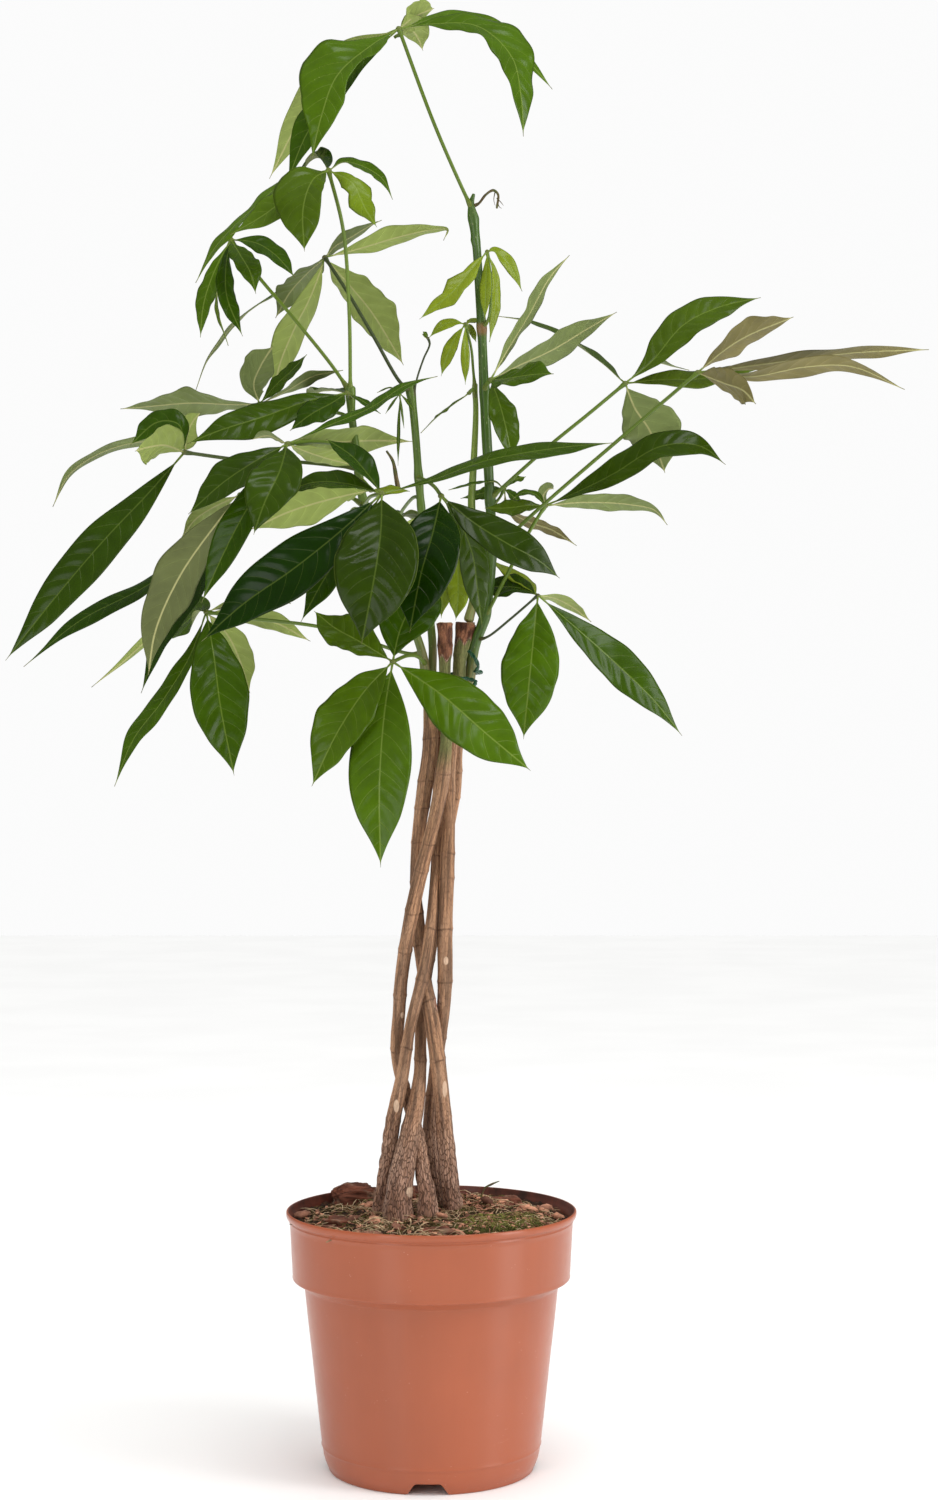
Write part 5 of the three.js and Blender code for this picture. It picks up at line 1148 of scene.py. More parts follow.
def leaflet(hub, start, row, seed):
    """One leaflet as a closed blade. On a grid along the midrib (t) and across it (v, -1 to 1) its height
    over the midrib is: a V fold, plus waves that grow towards the margins, plus bulges between the lateral
    veins. The veins are where the phase, count * (t - lean) and a little sway, is whole, and lean grows with
    |v|. The thickness ends in a rounded margin, and the midrib is a groove above and a ridge below."""
    shade, width, tilt_base, tilt_tip, points, *lopsided = row
    draw = np.random.default_rng(seed)
    large = width >= LARGE_FROM
    steps, half_columns = (104, 11) if large else (56, 6)
    path = seen([hub] + points)
    place, along, _, run = smooth_path(path, steps=steps, start=start * MM)
    length = run[-1]
    t = run / length
    face = sight_faces(place, along, tilt_base, tilt_tip, t)
    side = np.cross(along, face)

    w = np.linspace(-1, 1, 2 * half_columns + 1)
    v = np.sign(w) * np.abs(w) ** 1.25
    t, v = t[:, None], v[None]
    half = blade_half(t, width)
    blade = rise(t, 0.04, 0.16)
    if lopsided:
        left, right = (np.interp(t, np.linspace(0, 1, len(part)), part) for part in lopsided[0])
        share = np.where(v < 0, left, right) * blade + 1 - blade
        half = half * (1 + (share - 1) * np.minimum(1, 3 * np.abs(v)))
    count = np.clip(length / MM / VEIN_SPACING + draw.uniform(-1, 1), 7, 15) if large else 8
    lean = half / length * (0.55 * np.abs(v) + 0.5 * v * v)
    phase = count * (t - lean) + draw.uniform(0, 1) + 0.12 * np.sin(3 * t * TURN + (v > 0) * 2.1)

    fold = math.radians(draw.uniform(9, 20) if large else draw.uniform(5, 16))
    fold = fold * (1 - 0.35 * t)
    soft = np.sqrt(v * v + 0.01) - 0.1
    droop = draw.uniform(0.04, 0.16)
    lift = half * (np.sin(fold) * soft - droop * v * v)
    waves = draw.uniform(1.3, 3.2)
    offsets = draw.uniform(0, TURN, 3)
    wave = np.sin(waves * TURN * t + offsets[0] + 1.9 * (v > 0))
    wave = wave + 0.5 * np.sin(2.3 * waves * TURN * t + offsets[1])
    lift = lift + half * draw.uniform(0.05, 0.12) * wave * v * v * blade
    twist = draw.uniform(-0.16, 0.16) * np.sin(TURN * t * 0.8 + offsets[2])
    lift = lift + half * v * twist
    bulge = np.abs(np.sin(math.pi * phase)) ** 0.75 - 0.6
    hold = np.minimum(1, 4 * np.abs(v)) * (1 - rise(np.abs(v), 0.55, 0.95))
    lift = lift + bulge * hold * blade * (1 - rise(t, 0.85, 0.97)) * half * (0.048 if large else 0.025)

    stalk = 1 - rise(t, 0.02, 0.1)
    thick = (BLADE_THICKNESS + 0.9 * stalk) * MM * np.sqrt(np.clip(1 - np.abs(v) ** (6 - 4 * stalk), 0, 1))
    away = np.abs(v) * half / MM
    rib = np.exp(-((away / 0.8) ** 2)) * (1 - 0.75 * t) * (1 - stalk)
    upper = lift + thick / 2 - 0.25 * MM * rib
    lower = lift - thick / 2 - 0.65 * MM * rib
    sideways = half * v * np.cos(fold)

    def skin_side(height, columns):
        out, up = sideways[:, columns, None], height[:, columns, None]
        return place[:, None] + side[:, None] * out + face[:, None] * up

    every = np.arange(2 * half_columns + 1)
    back = every[1:-1][::-1]
    rings = np.concatenate([skin_side(upper, every), skin_side(lower, back)], 1)
    order = np.concatenate([every, back])
    finish = np.where(np.arange(len(order)) < 2 * half_columns, 0, 1)
    green, yellow, olive = SHADES[shade]
    jitter = draw.uniform(-1, 1, 3)
    values = {
        "blade": np.stack([v[:, order] + 0 * t, t + 0 * v[:, order], phase[:, order]], -1),
        "spread": np.stack([run[:, None] + 0 * v[:, order], (half * v)[:, order], 0 * phase[:, order]], -1),
        "shade": np.array([green + 0.1 * jitter[0], yellow + 0.08 * jitter[1], olive])[None, None],
    }
    return closed(rings, values, finish)


def leaf_stem(rows, green):
    """A petiole: a round section along its path, swollen where it leaves the stem and again at the hub."""
    rows = np.array(rows, float)
    place, along, row, run = smooth_path(seen(rows[:, :3]), 2.4 * MM)
    radius = np.interp(row, np.arange(len(rows)), rows[:, 3]) * MM
    from_foot, to_hub = run / MM, (run[-1] - run) / MM
    swell = 1 + 0.75 * (1 - rise(from_foot, 2, 12)) + 0.45 * (1 - rise(to_hub, 1, 8))
    thick = (radius * swell)[:, None] + np.zeros((1, 14))
    place, along, thick, run = with_round_ends(place, along, thick, run, 0.6)
    lean = np.abs(along).max(0)
    reference = np.eye(3)[int(np.argmin(lean))]
    rings = stem_rings(place, along, thick, reference)
    angle = around(14)[None]
    share = (run / run[-1])[:, None] + 0 * thick
    values = {
        "blade": np.stack([np.cos(angle) + 0 * thick, share, 0 * thick], -1),
        "spread": np.stack([run[:, None] + 0 * thick, thick * np.sin(angle), 0 * thick], -1),
        "shade": np.array(green)[None, None],
    }
    return closed(rings, values, 2)


def hub_ball(hub, radius, green):
    """The knot that joins the leaflets: a flattened ball whose radius swells in five low lobes round it."""
    polar = np.linspace(0.15, math.pi - 0.15, 12)[:, None]
    angle = around(18)[None]
    lobed = radius * (1 + 0.08 * np.sin(5 * angle) * np.sin(polar))
    out = lobed * np.sin(polar)
    part = np.stack([out * np.cos(angle), out * np.sin(angle), lobed * 0.85 * np.cos(polar)], -1)
    rings = seen([hub])[0] + part * MM
    values = {
        "blade": np.zeros((1, 1, 1, 3)),
        "spread": part * MM,
        "shade": np.array(green)[None, None],
    }
    return closed(rings, values, 2)


# How light a green, how yellow and how dark the petioles are that differ from the usual
PETIOLE_GREENS = {
    "leaf_crown": (1.0, 0.3, 0.0),
    "leaf_upper_left": (1.0, 0.4, 0.0),
    "leaf_far_upper_left": (1.0, 0.4, 0.0),
    "leaf_upper_mid": (0.2, 0.1, 0.7),
    "leaf_right_hanging": (0.2, 0.1, 0.7),
    "leaf_far_left": (0.4, 0.3, 0.5),
    "leaf_young_left": (0.1, 0.1, 0.8),
    "leaf_bud": (0.1, 0.1, 0.8),
}
USUAL_PETIOLE = (0.9, 0.3, 0.1)


def build_leaves(materials):
    """Every compound leaf: its petiole, its hub and its leaflets in one piece."""
    for number, (name, (petiole, *leaflets)) in enumerate(LEAVES.items()):
        hub = petiole[-1]
        widest = max(row[1] for row in leaflets)
        usual_radius = next(radius for limit, radius in PETIOLES if widest <= limit)
        radius = THIN_PETIOLES.get(name, usual_radius)
        green = PETIOLE_GREENS.get(name, USUAL_PETIOLE)
        skins = [leaflet(hub, radius, row, 1000 + 20 * number + k) for k, row in enumerate(leaflets)]
        skins.append(leaf_stem([(*point, radius) for point in petiole], green))
        skins.append(hub_ball(hub, radius * 1.7, green))
        add_piece("fine_" + name, skins, materials, [name])


# --- Materials ---------------------------------------------------


def tint(red, green, blue):
    """A colour written as 0 to 255 for the eye, as the shader's linear numbers."""
    share = np.array([red, green, blue]) / 255
    linear = np.where(share <= 0.04045, share / 12.92, ((share + 0.055) / 1.055) ** 2.4)
    return (*[float(c) for c in linear], 1.0)


class Finish:
    """A material and the nodes that are added to it one after another."""

    def __init__(self, name):
        self.material = bpy.data.materials.new(name)
        self.material.use_nodes = True
        self.tree = self.material.node_tree
        self.shader = self.tree.nodes["Principled BSDF"]

    def add(self, kind, sockets=(), **settings):
        """A node with its settings, and its inputs by number or name set or linked."""
        made = self.tree.nodes.new(kind)
        for key, value in settings.items():
            setattr(made, key, value)
        for key, value in dict(sockets).items():
            self.give(made.inputs[key], value)
        return made

    def give(self, socket, value):
        """A socket linked to another, or set to a value."""
        if isinstance(value, bpy.types.NodeSocket):
            self.tree.links.new(value, socket)
        else:
            socket.default_value = value[:3] if socket.type == "VECTOR" else value

    def math(self, operation, a, b=0.0, clamp=False):
        return self.add("ShaderNodeMath", {0: a, 1: b}, operation=operation, use_clamp=clamp).outputs[0]

    def blend(self, share, a, b):
        """Colour a where share is 0, colour b where it is 1."""
        mix = self.add("ShaderNodeMix", {0: share, 6: a, 7: b}, data_type="RGBA")
        return mix.outputs[2]

    def shaded(self, colour, factor):
        """The colour times a number."""
        scaled = self.add("ShaderNodeVectorMath", {0: colour, 3: factor}, operation="SCALE")
        return scaled.outputs[0]

    def step(self, value, low, high, to_low=0.0, to_high=1.0):
        """A smooth step from to_low at low to to_high at high."""
        sockets = {0: value, 1: low, 2: high, 3: to_low, 4: to_high}
        return self.add("ShaderNodeMapRange", sockets, interpolation_type="SMOOTHSTEP").outputs[0]

    def place(self):
        return self.add("ShaderNodeTexCoord").outputs["Object"]

    def read(self, name):
        """A vector attribute, and its three parts."""
        vector = self.add("ShaderNodeAttribute", attribute_name=name).outputs["Vector"]
        parts = self.add("ShaderNodeSeparateXYZ", {0: vector})
        return vector, parts.outputs[0], parts.outputs[1], parts.outputs[2]

    def stretched(self, vector, scale):
        """The coordinates times a scale for each axis."""
        return self.add("ShaderNodeMapping", {0: vector, 3: scale}).outputs[0]

    def noise(self, vector, scale, detail=3.0, roughness=0.55, distortion=0.0):
        sockets = {"Vector": vector, "Scale": scale, "Detail": detail, "Roughness": roughness}
        sockets["Distortion"] = distortion
        return self.add("ShaderNodeTexNoise", sockets).outputs[0]

    def cells(self, vector, scale, feature="F1"):
        """The distance to the nearest of scattered points, or to the edge between two cells."""
        sockets = {"Vector": vector, "Scale": scale}
        return self.add("ShaderNodeTexVoronoi", sockets, feature=feature).outputs["Distance"]

    def bump(self, height, distance, strength=1.0):
        sockets = {"Height": height, "Distance": distance, "Strength": strength}
        return self.add("ShaderNodeBump", sockets).outputs[0]

    def surface(self, colour, roughness, normal=None, **constants):
        """The shader's colour, roughness and normal, and its constant sockets."""
        self.give(self.shader.inputs["Base Color"], colour)
        self.give(self.shader.inputs["Roughness"], roughness)
        if normal is not None:
            self.give(self.shader.inputs["Normal"], normal)
        for key, value in constants.items():
            self.shader.inputs[key.replace("_", " ")].default_value = value
        return self.material


def pot_finish(colour):
    """Satin moulded plastic whose fine rings spread its sheen up and down: faint upright flow marks, tiny
    pale specks, scattered scuffs, and a dark, mottled brown all over the inside."""
    f = Finish("pot_plastic")
    place = f.place()
    _, inside, _, _ = f.read("wall")
    broad = f.noise(place, 9, 3)
    flow = f.noise(f.stretched(place, (60, 60, 6)), 1, 3)
    speck = f.step(f.cells(place, 260), 0.10, 0.04)
    speck = f.math("MULTIPLY", speck, f.step(f.noise(place, 40, 2), 0.56, 0.66))
    scuff = f.step(f.noise(f.stretched(place, (50, 50, 220)), 1, 5, 0.7), 0.66, 0.76)
    scuff = f.math("MULTIPLY", scuff, f.step(f.noise(place, 14, 2), 0.5, 0.62))
    base = f.blend(f.step(broad, 0.3, 0.7), f.shaded(colour, 0.94), f.shaded(colour, 1.05))
    base = f.blend(f.step(flow, 0.35, 0.75, 0.0, 0.25), base, f.shaded(colour, 1.12))
    base = f.blend(f.math("MULTIPLY", speck, 0.7), base, tint(226, 180, 158))
    base = f.blend(f.math("MULTIPLY", scuff, 0.35), base, tint(214, 160, 138))
    # the whole inside, from just above the floor's underside up to the lip, turns a dark mottled brown
    inside_mottle = f.step(f.noise(place, 55, 5, 0.7), 0.35, 0.7)
    base = f.blend(inside, base, f.blend(inside_mottle, tint(104, 52, 38), tint(56, 34, 26)))
    roughness = f.step(f.noise(place, 120, 3), 0.2, 0.8, 0.3, 0.36)
    roughness = f.math("ADD", roughness, f.math("MULTIPLY", scuff, 0.2))
    rings = f.add("ShaderNodeTangent", direction_type="RADIAL", axis="Z")
    f.give(f.shader.inputs["Tangent"], rings.outputs[0])
    fine = f.math("ADD", f.noise(place, 900, 2), f.math("MULTIPLY", flow, 0.6))
    gloss = {"Specular_IOR_Level": 0.55, "Anisotropic": 0.85, "Anisotropic_Rotation": 0.25}
    return f.surface(base, roughness, f.bump(fine, 0.00008, 0.4), **gloss)


def mix_finish(colour):
    """Damp peat: dark crumbs, with paler and rusty grains and olive patches."""
    f = Finish("peat")
    place = f.place()
    grain = f.noise(place, 160, 6, 0.7)
    crumbs = f.cells(place, 380)
    rust = f.step(f.noise(place, 60, 3), 0.5, 0.66)
    pale = f.step(f.cells(place, 520), 0.16, 0.05)
    base = f.blend(f.step(grain, 0.3, 0.75), f.shaded(colour, 0.5), f.shaded(colour, 1.9))
    base = f.blend(f.math("MULTIPLY", rust, 0.6), base, tint(98, 58, 34))
    base = f.blend(f.math("MULTIPLY", pale, 0.5), base, tint(150, 128, 88))
    base = f.blend(f.step(f.noise(place, 26, 3), 0.5, 0.7, 0.0, 0.35), base, tint(74, 66, 34))
    height = f.math("ADD", grain, f.math("MULTIPLY", crumbs, 0.8))
    return f.surface(base, 0.92, f.bump(height, 0.0016, 0.9), Specular_IOR_Level=0.2)


def scrap_finish(name, moss_green):
    """Scraps, straws and moss threads: each one's own tone runs from dark bark through olive moss to
    straw."""
    f = Finish(name)
    place = f.place()
    _, kind, random, _ = f.read("scrap")
    bark = f.blend(random, tint(90, 56, 44), tint(212, 152, 122))
    olive = f.blend(random, tint(84, 66, 40), f.shaded(moss_green, 1.6))
    straw = f.blend(random, tint(150, 116, 82), tint(218, 192, 154))
    base = f.blend(f.step(kind, 0.32, 0.42), bark, olive)
    base = f.blend(f.step(kind, 0.7, 0.85), base, straw)
    base = f.shaded(base, f.step(f.noise(place, 240, 4), 0.25, 0.75, 0.65, 1.25))
    return f.surface(base, 0.85, f.bump(f.noise(place, 420, 3), 0.0006), Specular_IOR_Level=0.2)


def lump_finish(colour):
    """Conifer bark: rusty layers, dark cracks along the grain and a grey weathered skin here and there."""
    f = Finish("lump_bark")
    grain, _, _, _ = f.read("grain")
    place = f.place()
    layers = f.noise(f.stretched(grain, (60, 60, 420)), 1, 5, 0.65, 0.6)
    cracks = f.step(f.noise(f.stretched(grain, (50, 320, 320)), 1, 4, 0.6), 0.42, 0.3)
    weather = f.step(f.noise(place, 70, 4), 0.5, 0.64)
    base = f.blend(f.step(layers, 0.3, 0.72), f.shaded(colour, 0.4), f.shaded(colour, 1.7))
    base = f.blend(f.math("MULTIPLY", weather, 0.5), base, tint(142, 122, 100))
    base = f.blend(f.math("MULTIPLY", cracks, 0.8), base, tint(34, 22, 16))
    height = f.math("SUBTRACT", layers, cracks)
    return f.surface(base, 0.88, f.bump(height, 0.0012), Specular_IOR_Level=0.25)


def trunk_finish(colour):
    """Young smooth bark: lengthwise tan and brown streaks, dark leaf rings, reddish grain, green where it is
    youngest, netted grey-brown bark at the foot, and cream scars."""
    f = Finish("trunk_bark")
    grain, _, _, length = f.read("grain")
    _, green, rough, scar = f.read("tone")
    streak = f.noise(f.stretched(grain, (360, 360, 14)), 1, 5, 0.6, 0.4)
    fine = f.noise(f.stretched(grain, (1000, 1000, 110)), 1, 4, 0.65)
    patch = f.noise(f.stretched(grain, (60, 60, 20)), 1, 4, 0.55)
    base = f.blend(f.step(streak, 0.36, 0.64), f.shaded(colour, 0.42), f.shaded(colour, 1.48))
    base = f.blend(f.step(patch, 0.45, 0.68, 0.0, 0.55), base, tint(184, 146, 116))
    base = f.blend(f.step(fine, 0.52, 0.68, 0.0, 0.5), base, tint(96, 62, 46))
    ring = f.math("MULTIPLY", f.step(scar, -0.2, -0.9), f.step(f.noise(grain, 160, 2), 0.36, 0.62, 0.1, 0.7))
    base = f.blend(ring, base, tint(74, 48, 34))
    fresh = f.blend(f.step(streak, 0.3, 0.7), tint(92, 104, 54), tint(132, 140, 84))
    base = f.blend(f.math("MULTIPLY", green, 0.85), base, fresh)
    net = f.cells(f.stretched(grain, (640, 640, 170)), 1, "DISTANCE_TO_EDGE")
    cracks = f.math("MULTIPLY", f.step(net, 0.14, 0.03), f.step(fine, 0.3, 0.5))
    old = f.blend(f.step(patch, 0.35, 0.65), tint(158, 118, 100), tint(224, 184, 162))
    old = f.blend(f.step(fine, 0.4, 0.64, 0.0, 0.55), old, tint(148, 104, 72))
    old = f.blend(f.step(streak, 0.6, 0.4, 0.0, 0.3), old, tint(92, 64, 50))
    old = f.blend(f.math("MULTIPLY", cracks, 0.75), old, tint(70, 46, 36))
    base = f.blend(f.math("MINIMUM", f.math("MULTIPLY", rough, 0.85), 0.85), base, old)
    base = f.blend(f.math("MULTIPLY", cracks, 0.3), base, tint(60, 38, 28))
    flakes = f.blend(f.step(f.noise(f.stretched(grain, (260, 260, 90)), 1, 4), 0.35, 0.65),
                     tint(84, 48, 34), tint(158, 104, 76))
    base = f.blend(f.step(rough, 1.2, 2.0), base, flakes)
    base = f.blend(f.math("MULTIPLY", f.step(scar, 0.25, 0.6), f.step(fine, 0.3, 0.6, 0.6, 1.0)), base,
                   tint(216, 184, 156))
    height = f.math("ADD", streak, f.math("MULTIPLY", fine, 0.6))
    height = f.math("SUBTRACT", height, f.math("MULTIPLY", cracks, f.step(rough, 0.0, 0.6, 0.25, 0.9)))
    roughness = f.step(streak, 0.3, 0.7, 0.6, 0.78)
    return f.surface(base, roughness, f.bump(height, 0.0009), Specular_IOR_Level=0.3)


def cut_finish():
    """Dry cut wood: tan, with rings round a dark pith and fine dark spots."""
    f = Finish("cut_wood")
    grain, x, y, _ = f.read("grain")
    radius = f.math("SQRT", f.math("ADD", f.math("MULTIPLY", x, x), f.math("MULTIPLY", y, y)))
    outward = f.add("ShaderNodeCombineXYZ", {0: f.math("MULTIPLY", radius, 1400.0)})
    rings = f.noise(outward.outputs[0], 1, 2)
    spots = f.noise(grain, 900, 4)
    base = f.blend(f.step(rings, 0.35, 0.65), tint(140, 108, 76), tint(186, 154, 116))
    base = f.blend(f.step(spots, 0.5, 0.7, 0.0, 0.6), base, tint(96, 68, 48))
    base = f.blend(f.step(radius, 0.0016, 0.0006), base, tint(66, 44, 32))
    return f.surface(base, 0.85, f.bump(f.math("ADD", rings, spots), 0.0004), Specular_IOR_Level=0.2)


def shoot_finish(colour):
    """Waxy green bark: long faint streaks, small pale pores, a brown ring and thin cork near the foot."""
    f = Finish("shoot_bark")
    grain, _, _, _ = f.read("grain")
    _, light, ring, foot = f.read("tone")
    streak = f.noise(f.stretched(grain, (420, 420, 14)), 1, 4, 0.6)
    patch = f.noise(f.stretched(grain, (90, 90, 30)), 1, 3)
    pores = f.step(f.cells(f.stretched(grain, (420, 420, 130)), 1), 0.16, 0.08)
    dark = f.blend(f.step(streak, 0.3, 0.7), f.shaded(colour, 0.62), f.shaded(colour, 1.15))
    fresh = f.blend(f.step(streak, 0.3, 0.7), tint(100, 126, 44), tint(140, 158, 70))
    base = f.blend(light, dark, fresh)
    base = f.blend(f.step(patch, 0.5, 0.72, 0.0, 0.3), base, tint(112, 130, 78))
    base = f.blend(f.math("MULTIPLY", pores, 0.5), base, tint(166, 166, 118))
    cork = f.blend(f.step(patch, 0.35, 0.65), tint(118, 98, 66), tint(150, 140, 98))
    base = f.blend(f.math("MULTIPLY", foot, f.step(streak, 0.35, 0.6, 0.25, 0.85)), base, cork)
    base = f.blend(f.math("MULTIPLY", ring, 0.85), base, tint(128, 92, 58))
    height = f.math("SUBTRACT", streak, f.math("MULTIPLY", pores, 0.4))
    roughness = f.step(patch, 0.3, 0.7, 0.28, 0.42)
    return f.surface(base, roughness, f.bump(height, 0.0003), Specular_IOR_Level=0.5)


def dry_finish():
    """Withered plant skin: brown and grey lengthwise wrinkles."""
    f = Finish("withered_skin")
    grain, _, _, _ = f.read("grain")
    wrinkles = f.noise(f.stretched(grain, (900, 900, 80)), 1, 4)
    base = f.blend(f.step(wrinkles, 0.3, 0.7), tint(62, 48, 34), tint(128, 112, 76))
    base = f.blend(f.step(f.noise(grain, 150, 2), 0.45, 0.62), base, tint(86, 92, 50))
    return f.surface(base, 0.8, f.bump(wrinkles, 0.0005), Specular_IOR_Level=0.25)


def tie_finish(colour):
    """Plastic-coated twisted wire: glossy, with worn paler patches on the turns."""
    f = Finish("coated_wire")
    place = f.place()
    worn = f.step(f.noise(place, 300, 4), 0.55, 0.7)
    base = f.blend(f.math("MULTIPLY", worn, 0.4), colour, f.shaded(colour, 2.4))
    roughness = f.step(worn, 0.0, 1.0, 0.26, 0.5)
    return f.surface(base, roughness, f.bump(f.noise(place, 900, 2), 0.0001), Specular_IOR_Level=0.5)


def vein_lines(f, phase, thin, wide):
    """1 on the lateral veins, where the phase is whole, and 0 between them."""
    return f.step(f.math("PINGPONG", phase, 0.5), wide, thin)


def leaf_upper_finish(dark, fresh, yellow):
    """The glossy upper face: green from dark to fresh to yellow by the leaflet's shade, a pale midrib, fine
    lateral veins that are plainer on light leaflets, painted shade between them, soft mottling and a thin
    pale margin."""
    f = Finish("leaf_upper")
    _, across, t, phase = f.read("blade")
    spread, _, offset, _ = f.read("spread")
    _, green, yellowness, _ = f.read("shade")
    place = f.place()
    away = f.math("ABSOLUTE", offset)
    edge = f.math("ABSOLUTE", across)
    midrib = f.step(away, 0.0009, 0.0002)
    lines = f.math("MULTIPLY", vein_lines(f, phase, 0.008, 0.048), f.step(edge, 1.0, 0.55, 0.2, 1.0))
    net = f.cells(spread, 520, "DISTANCE_TO_EDGE")
    mottle = f.noise(place, 42, 3)
    painted_quilt_shade = f.step(f.math("PINGPONG", phase, 0.5), 0.05, 0.4)
    base = f.blend(green, dark, fresh)
    base = f.blend(f.math("MULTIPLY", yellowness, 0.8, True), base, yellow)
    base = f.shaded(base, f.step(mottle, 0.3, 0.7, 0.88, 1.12))
    # painted shade: darker between the lateral veins, for the shade of the quilted relief
    base = f.blend(f.math("MULTIPLY", painted_quilt_shade, 0.2), base, f.shaded(base, 0.75))
    pale = f.blend(f.step(green, 0.0, 1.0, 0.18, 0.55), base, tint(140, 160, 70))
    base = f.blend(f.math("MULTIPLY", lines, 0.4), base, pale)
    base = f.blend(f.math("MULTIPLY", midrib, f.step(green, 0.0, 0.9, 0.24, 0.62)), base, tint(122, 142, 60))
    base = f.blend(f.step(edge, 0.965, 0.995, 0.0, 0.35), base, tint(118, 136, 56))
    base = f.blend(f.step(t, 0.08, 0.03), base, tint(112, 132, 56))
    base = f.blend(f.step(t, 0.965, 0.995, 0.0, 0.7), base, tint(92, 84, 50))
    height = f.math("SUBTRACT", f.step(net, 0.0, 0.2, 0.0, 0.04), lines)
    height = f.math("ADD", height, f.math("MULTIPLY", f.noise(spread, 240, 2), 0.35))
    roughness = f.step(f.noise(place, 90, 4), 0.25, 0.75, 0.17, 0.27)
    return f.surface(base, roughness, f.bump(height, 0.0002), Specular_IOR_Level=0.19)


def leaf_under_finish(grey, olive, fresh):
    """The matt underside: grey-green to olive, fresher on light leaflets, darker on dark ones as painted
    shade, a raised cream midrib, raised pale veins with painted shade between them, and a darker net."""
    f = Finish("leaf_under")
    _, across, t, phase = f.read("blade")
    spread, _, offset, _ = f.read("spread")
    _, green, _, oliveness = f.read("shade")
    place = f.place()
    away = f.math("ABSOLUTE", offset)
    edge = f.math("ABSOLUTE", across)
    midrib = f.step(away, 0.0012, 0.0004)
    lines = f.math("MULTIPLY", vein_lines(f, phase, 0.015, 0.06), f.step(edge, 1.0, 0.6, 0.3, 1.0))
    net = f.cells(spread, 520, "DISTANCE_TO_EDGE")
    painted_quilt_shade = f.step(f.math("PINGPONG", phase, 0.5), 0.08, 0.4)
    base = f.blend(oliveness, grey, olive)
    base = f.blend(f.step(green, 0.55, 1.0, 0.0, 0.85), base, fresh)
    # painted shade: the undersides of the darkest leaflets are made darker, as for leaf_lower_left's first
    # leaflet, whose underside lies in shade
    base = f.shaded(base, f.step(green, 0.0, 0.45, 0.6, 1.0))
    base = f.shaded(base, f.step(f.noise(place, 38, 3), 0.3, 0.7, 0.9, 1.1))
    # painted shade: darker between the lateral veins, for the shade of the quilted relief
    base = f.blend(f.math("MULTIPLY", painted_quilt_shade, 0.25), base, f.shaded(base, 0.8))
    base = f.blend(f.step(net, 0.1, 0.02, 0.0, 0.08), base, f.shaded(base, 0.8))
    base = f.blend(f.math("MULTIPLY", lines, 0.6), base, f.shaded(base, 1.35))
    base = f.blend(f.math("MULTIPLY", midrib, 0.72), base, tint(190, 186, 128))
    base = f.blend(f.step(t, 0.08, 0.03), base, tint(112, 132, 56))
    base = f.blend(f.step(t, 0.965, 0.995, 0.0, 0.7), base, tint(92, 84, 50))
    height = f.math("ADD", lines, f.step(net, 0.1, 0.0, 0.0, 0.1))
    return f.surface(base, 0.55, f.bump(height, 0.00025), Specular_IOR_Level=0.2)


def petiole_finish(dark, fresh, yellow):
    """Petioles and hubs: smooth green, some dark, with long streaks and a browner base."""
    f = Finish("leaf_stalk")
    _, _, t, _ = f.read("blade")
    spread, length, _, _ = f.read("spread")
    _, green, yellowness, darkness = f.read("shade")
    streak = f.noise(f.stretched(spread, (14, 420, 420)), 1, 2)
    base = f.blend(green, dark, fresh)
    base = f.blend(f.math("MULTIPLY", yellowness, 0.7), base, yellow)
    base = f.blend(darkness, base, tint(62, 72, 40))
    base = f.shaded(base, f.step(streak, 0.3, 0.7, 0.88, 1.12))
    base = f.blend(f.step(length, 0.012, 0.003, 0.0, 0.35), base, tint(116, 108, 58))
    return f.surface(base, 0.4, f.bump(streak, 0.0001), Specular_IOR_Level=0.5)


def moss_finish(colour):
    """Living moss: short green pile, browner in its hollows, with a few straw-coloured threads."""
    f = Finish("living_moss")
    place = f.place()
    _, kind, random, _ = f.read("scrap")
    pile = f.noise(place, 420, 5, 0.7)
    patch = f.noise(place, 60, 4)
    base = f.blend(f.step(pile, 0.35, 0.65), f.shaded(colour, 0.35), f.shaded(colour, 1.35))
    base = f.blend(f.step(patch, 0.46, 0.6, 0.0, 0.75), base, tint(112, 84, 58))
    base = f.blend(f.math("MULTIPLY", f.step(kind, 0.4, 0.6), random), base, tint(150, 150, 76))
    return f.surface(base, 0.9, f.bump(pile, 0.0012), Specular_IOR_Level=0.2)


# --- Settings ----------------------------------------------------


def colour_setting(name, description, red, green, blue):
    """A colour that a user can change, with its default written as 0 to 255 for the eye."""
    colour = tint(red, green, blue)
    return FloatVectorProperty(
        name=name, description=description, default=colour, size=4, min=0, max=1, subtype="COLOR"
    )


def power_setting(name, watts):
    return FloatProperty(name=name, description="Its power", default=watts, min=0, unit="POWER")


def room_setting(name, description, strength):
    return FloatProperty(name=name, description=description, default=strength, min=0)


class PotSettings(bpy.types.PropertyGroup):
    """The pot and what is in it."""

    plastic: colour_setting("Plastic", "Colour of the pot's plastic", 165, 86, 54)
    peat: colour_setting("Peat", "Colour of the potting mix", 52, 36, 27)
    bark: colour_setting("Bark", "Colour of the lumps of bark", 104, 60, 44)
    moss: colour_setting("Moss", "Colour of the moss", 80, 80, 38)


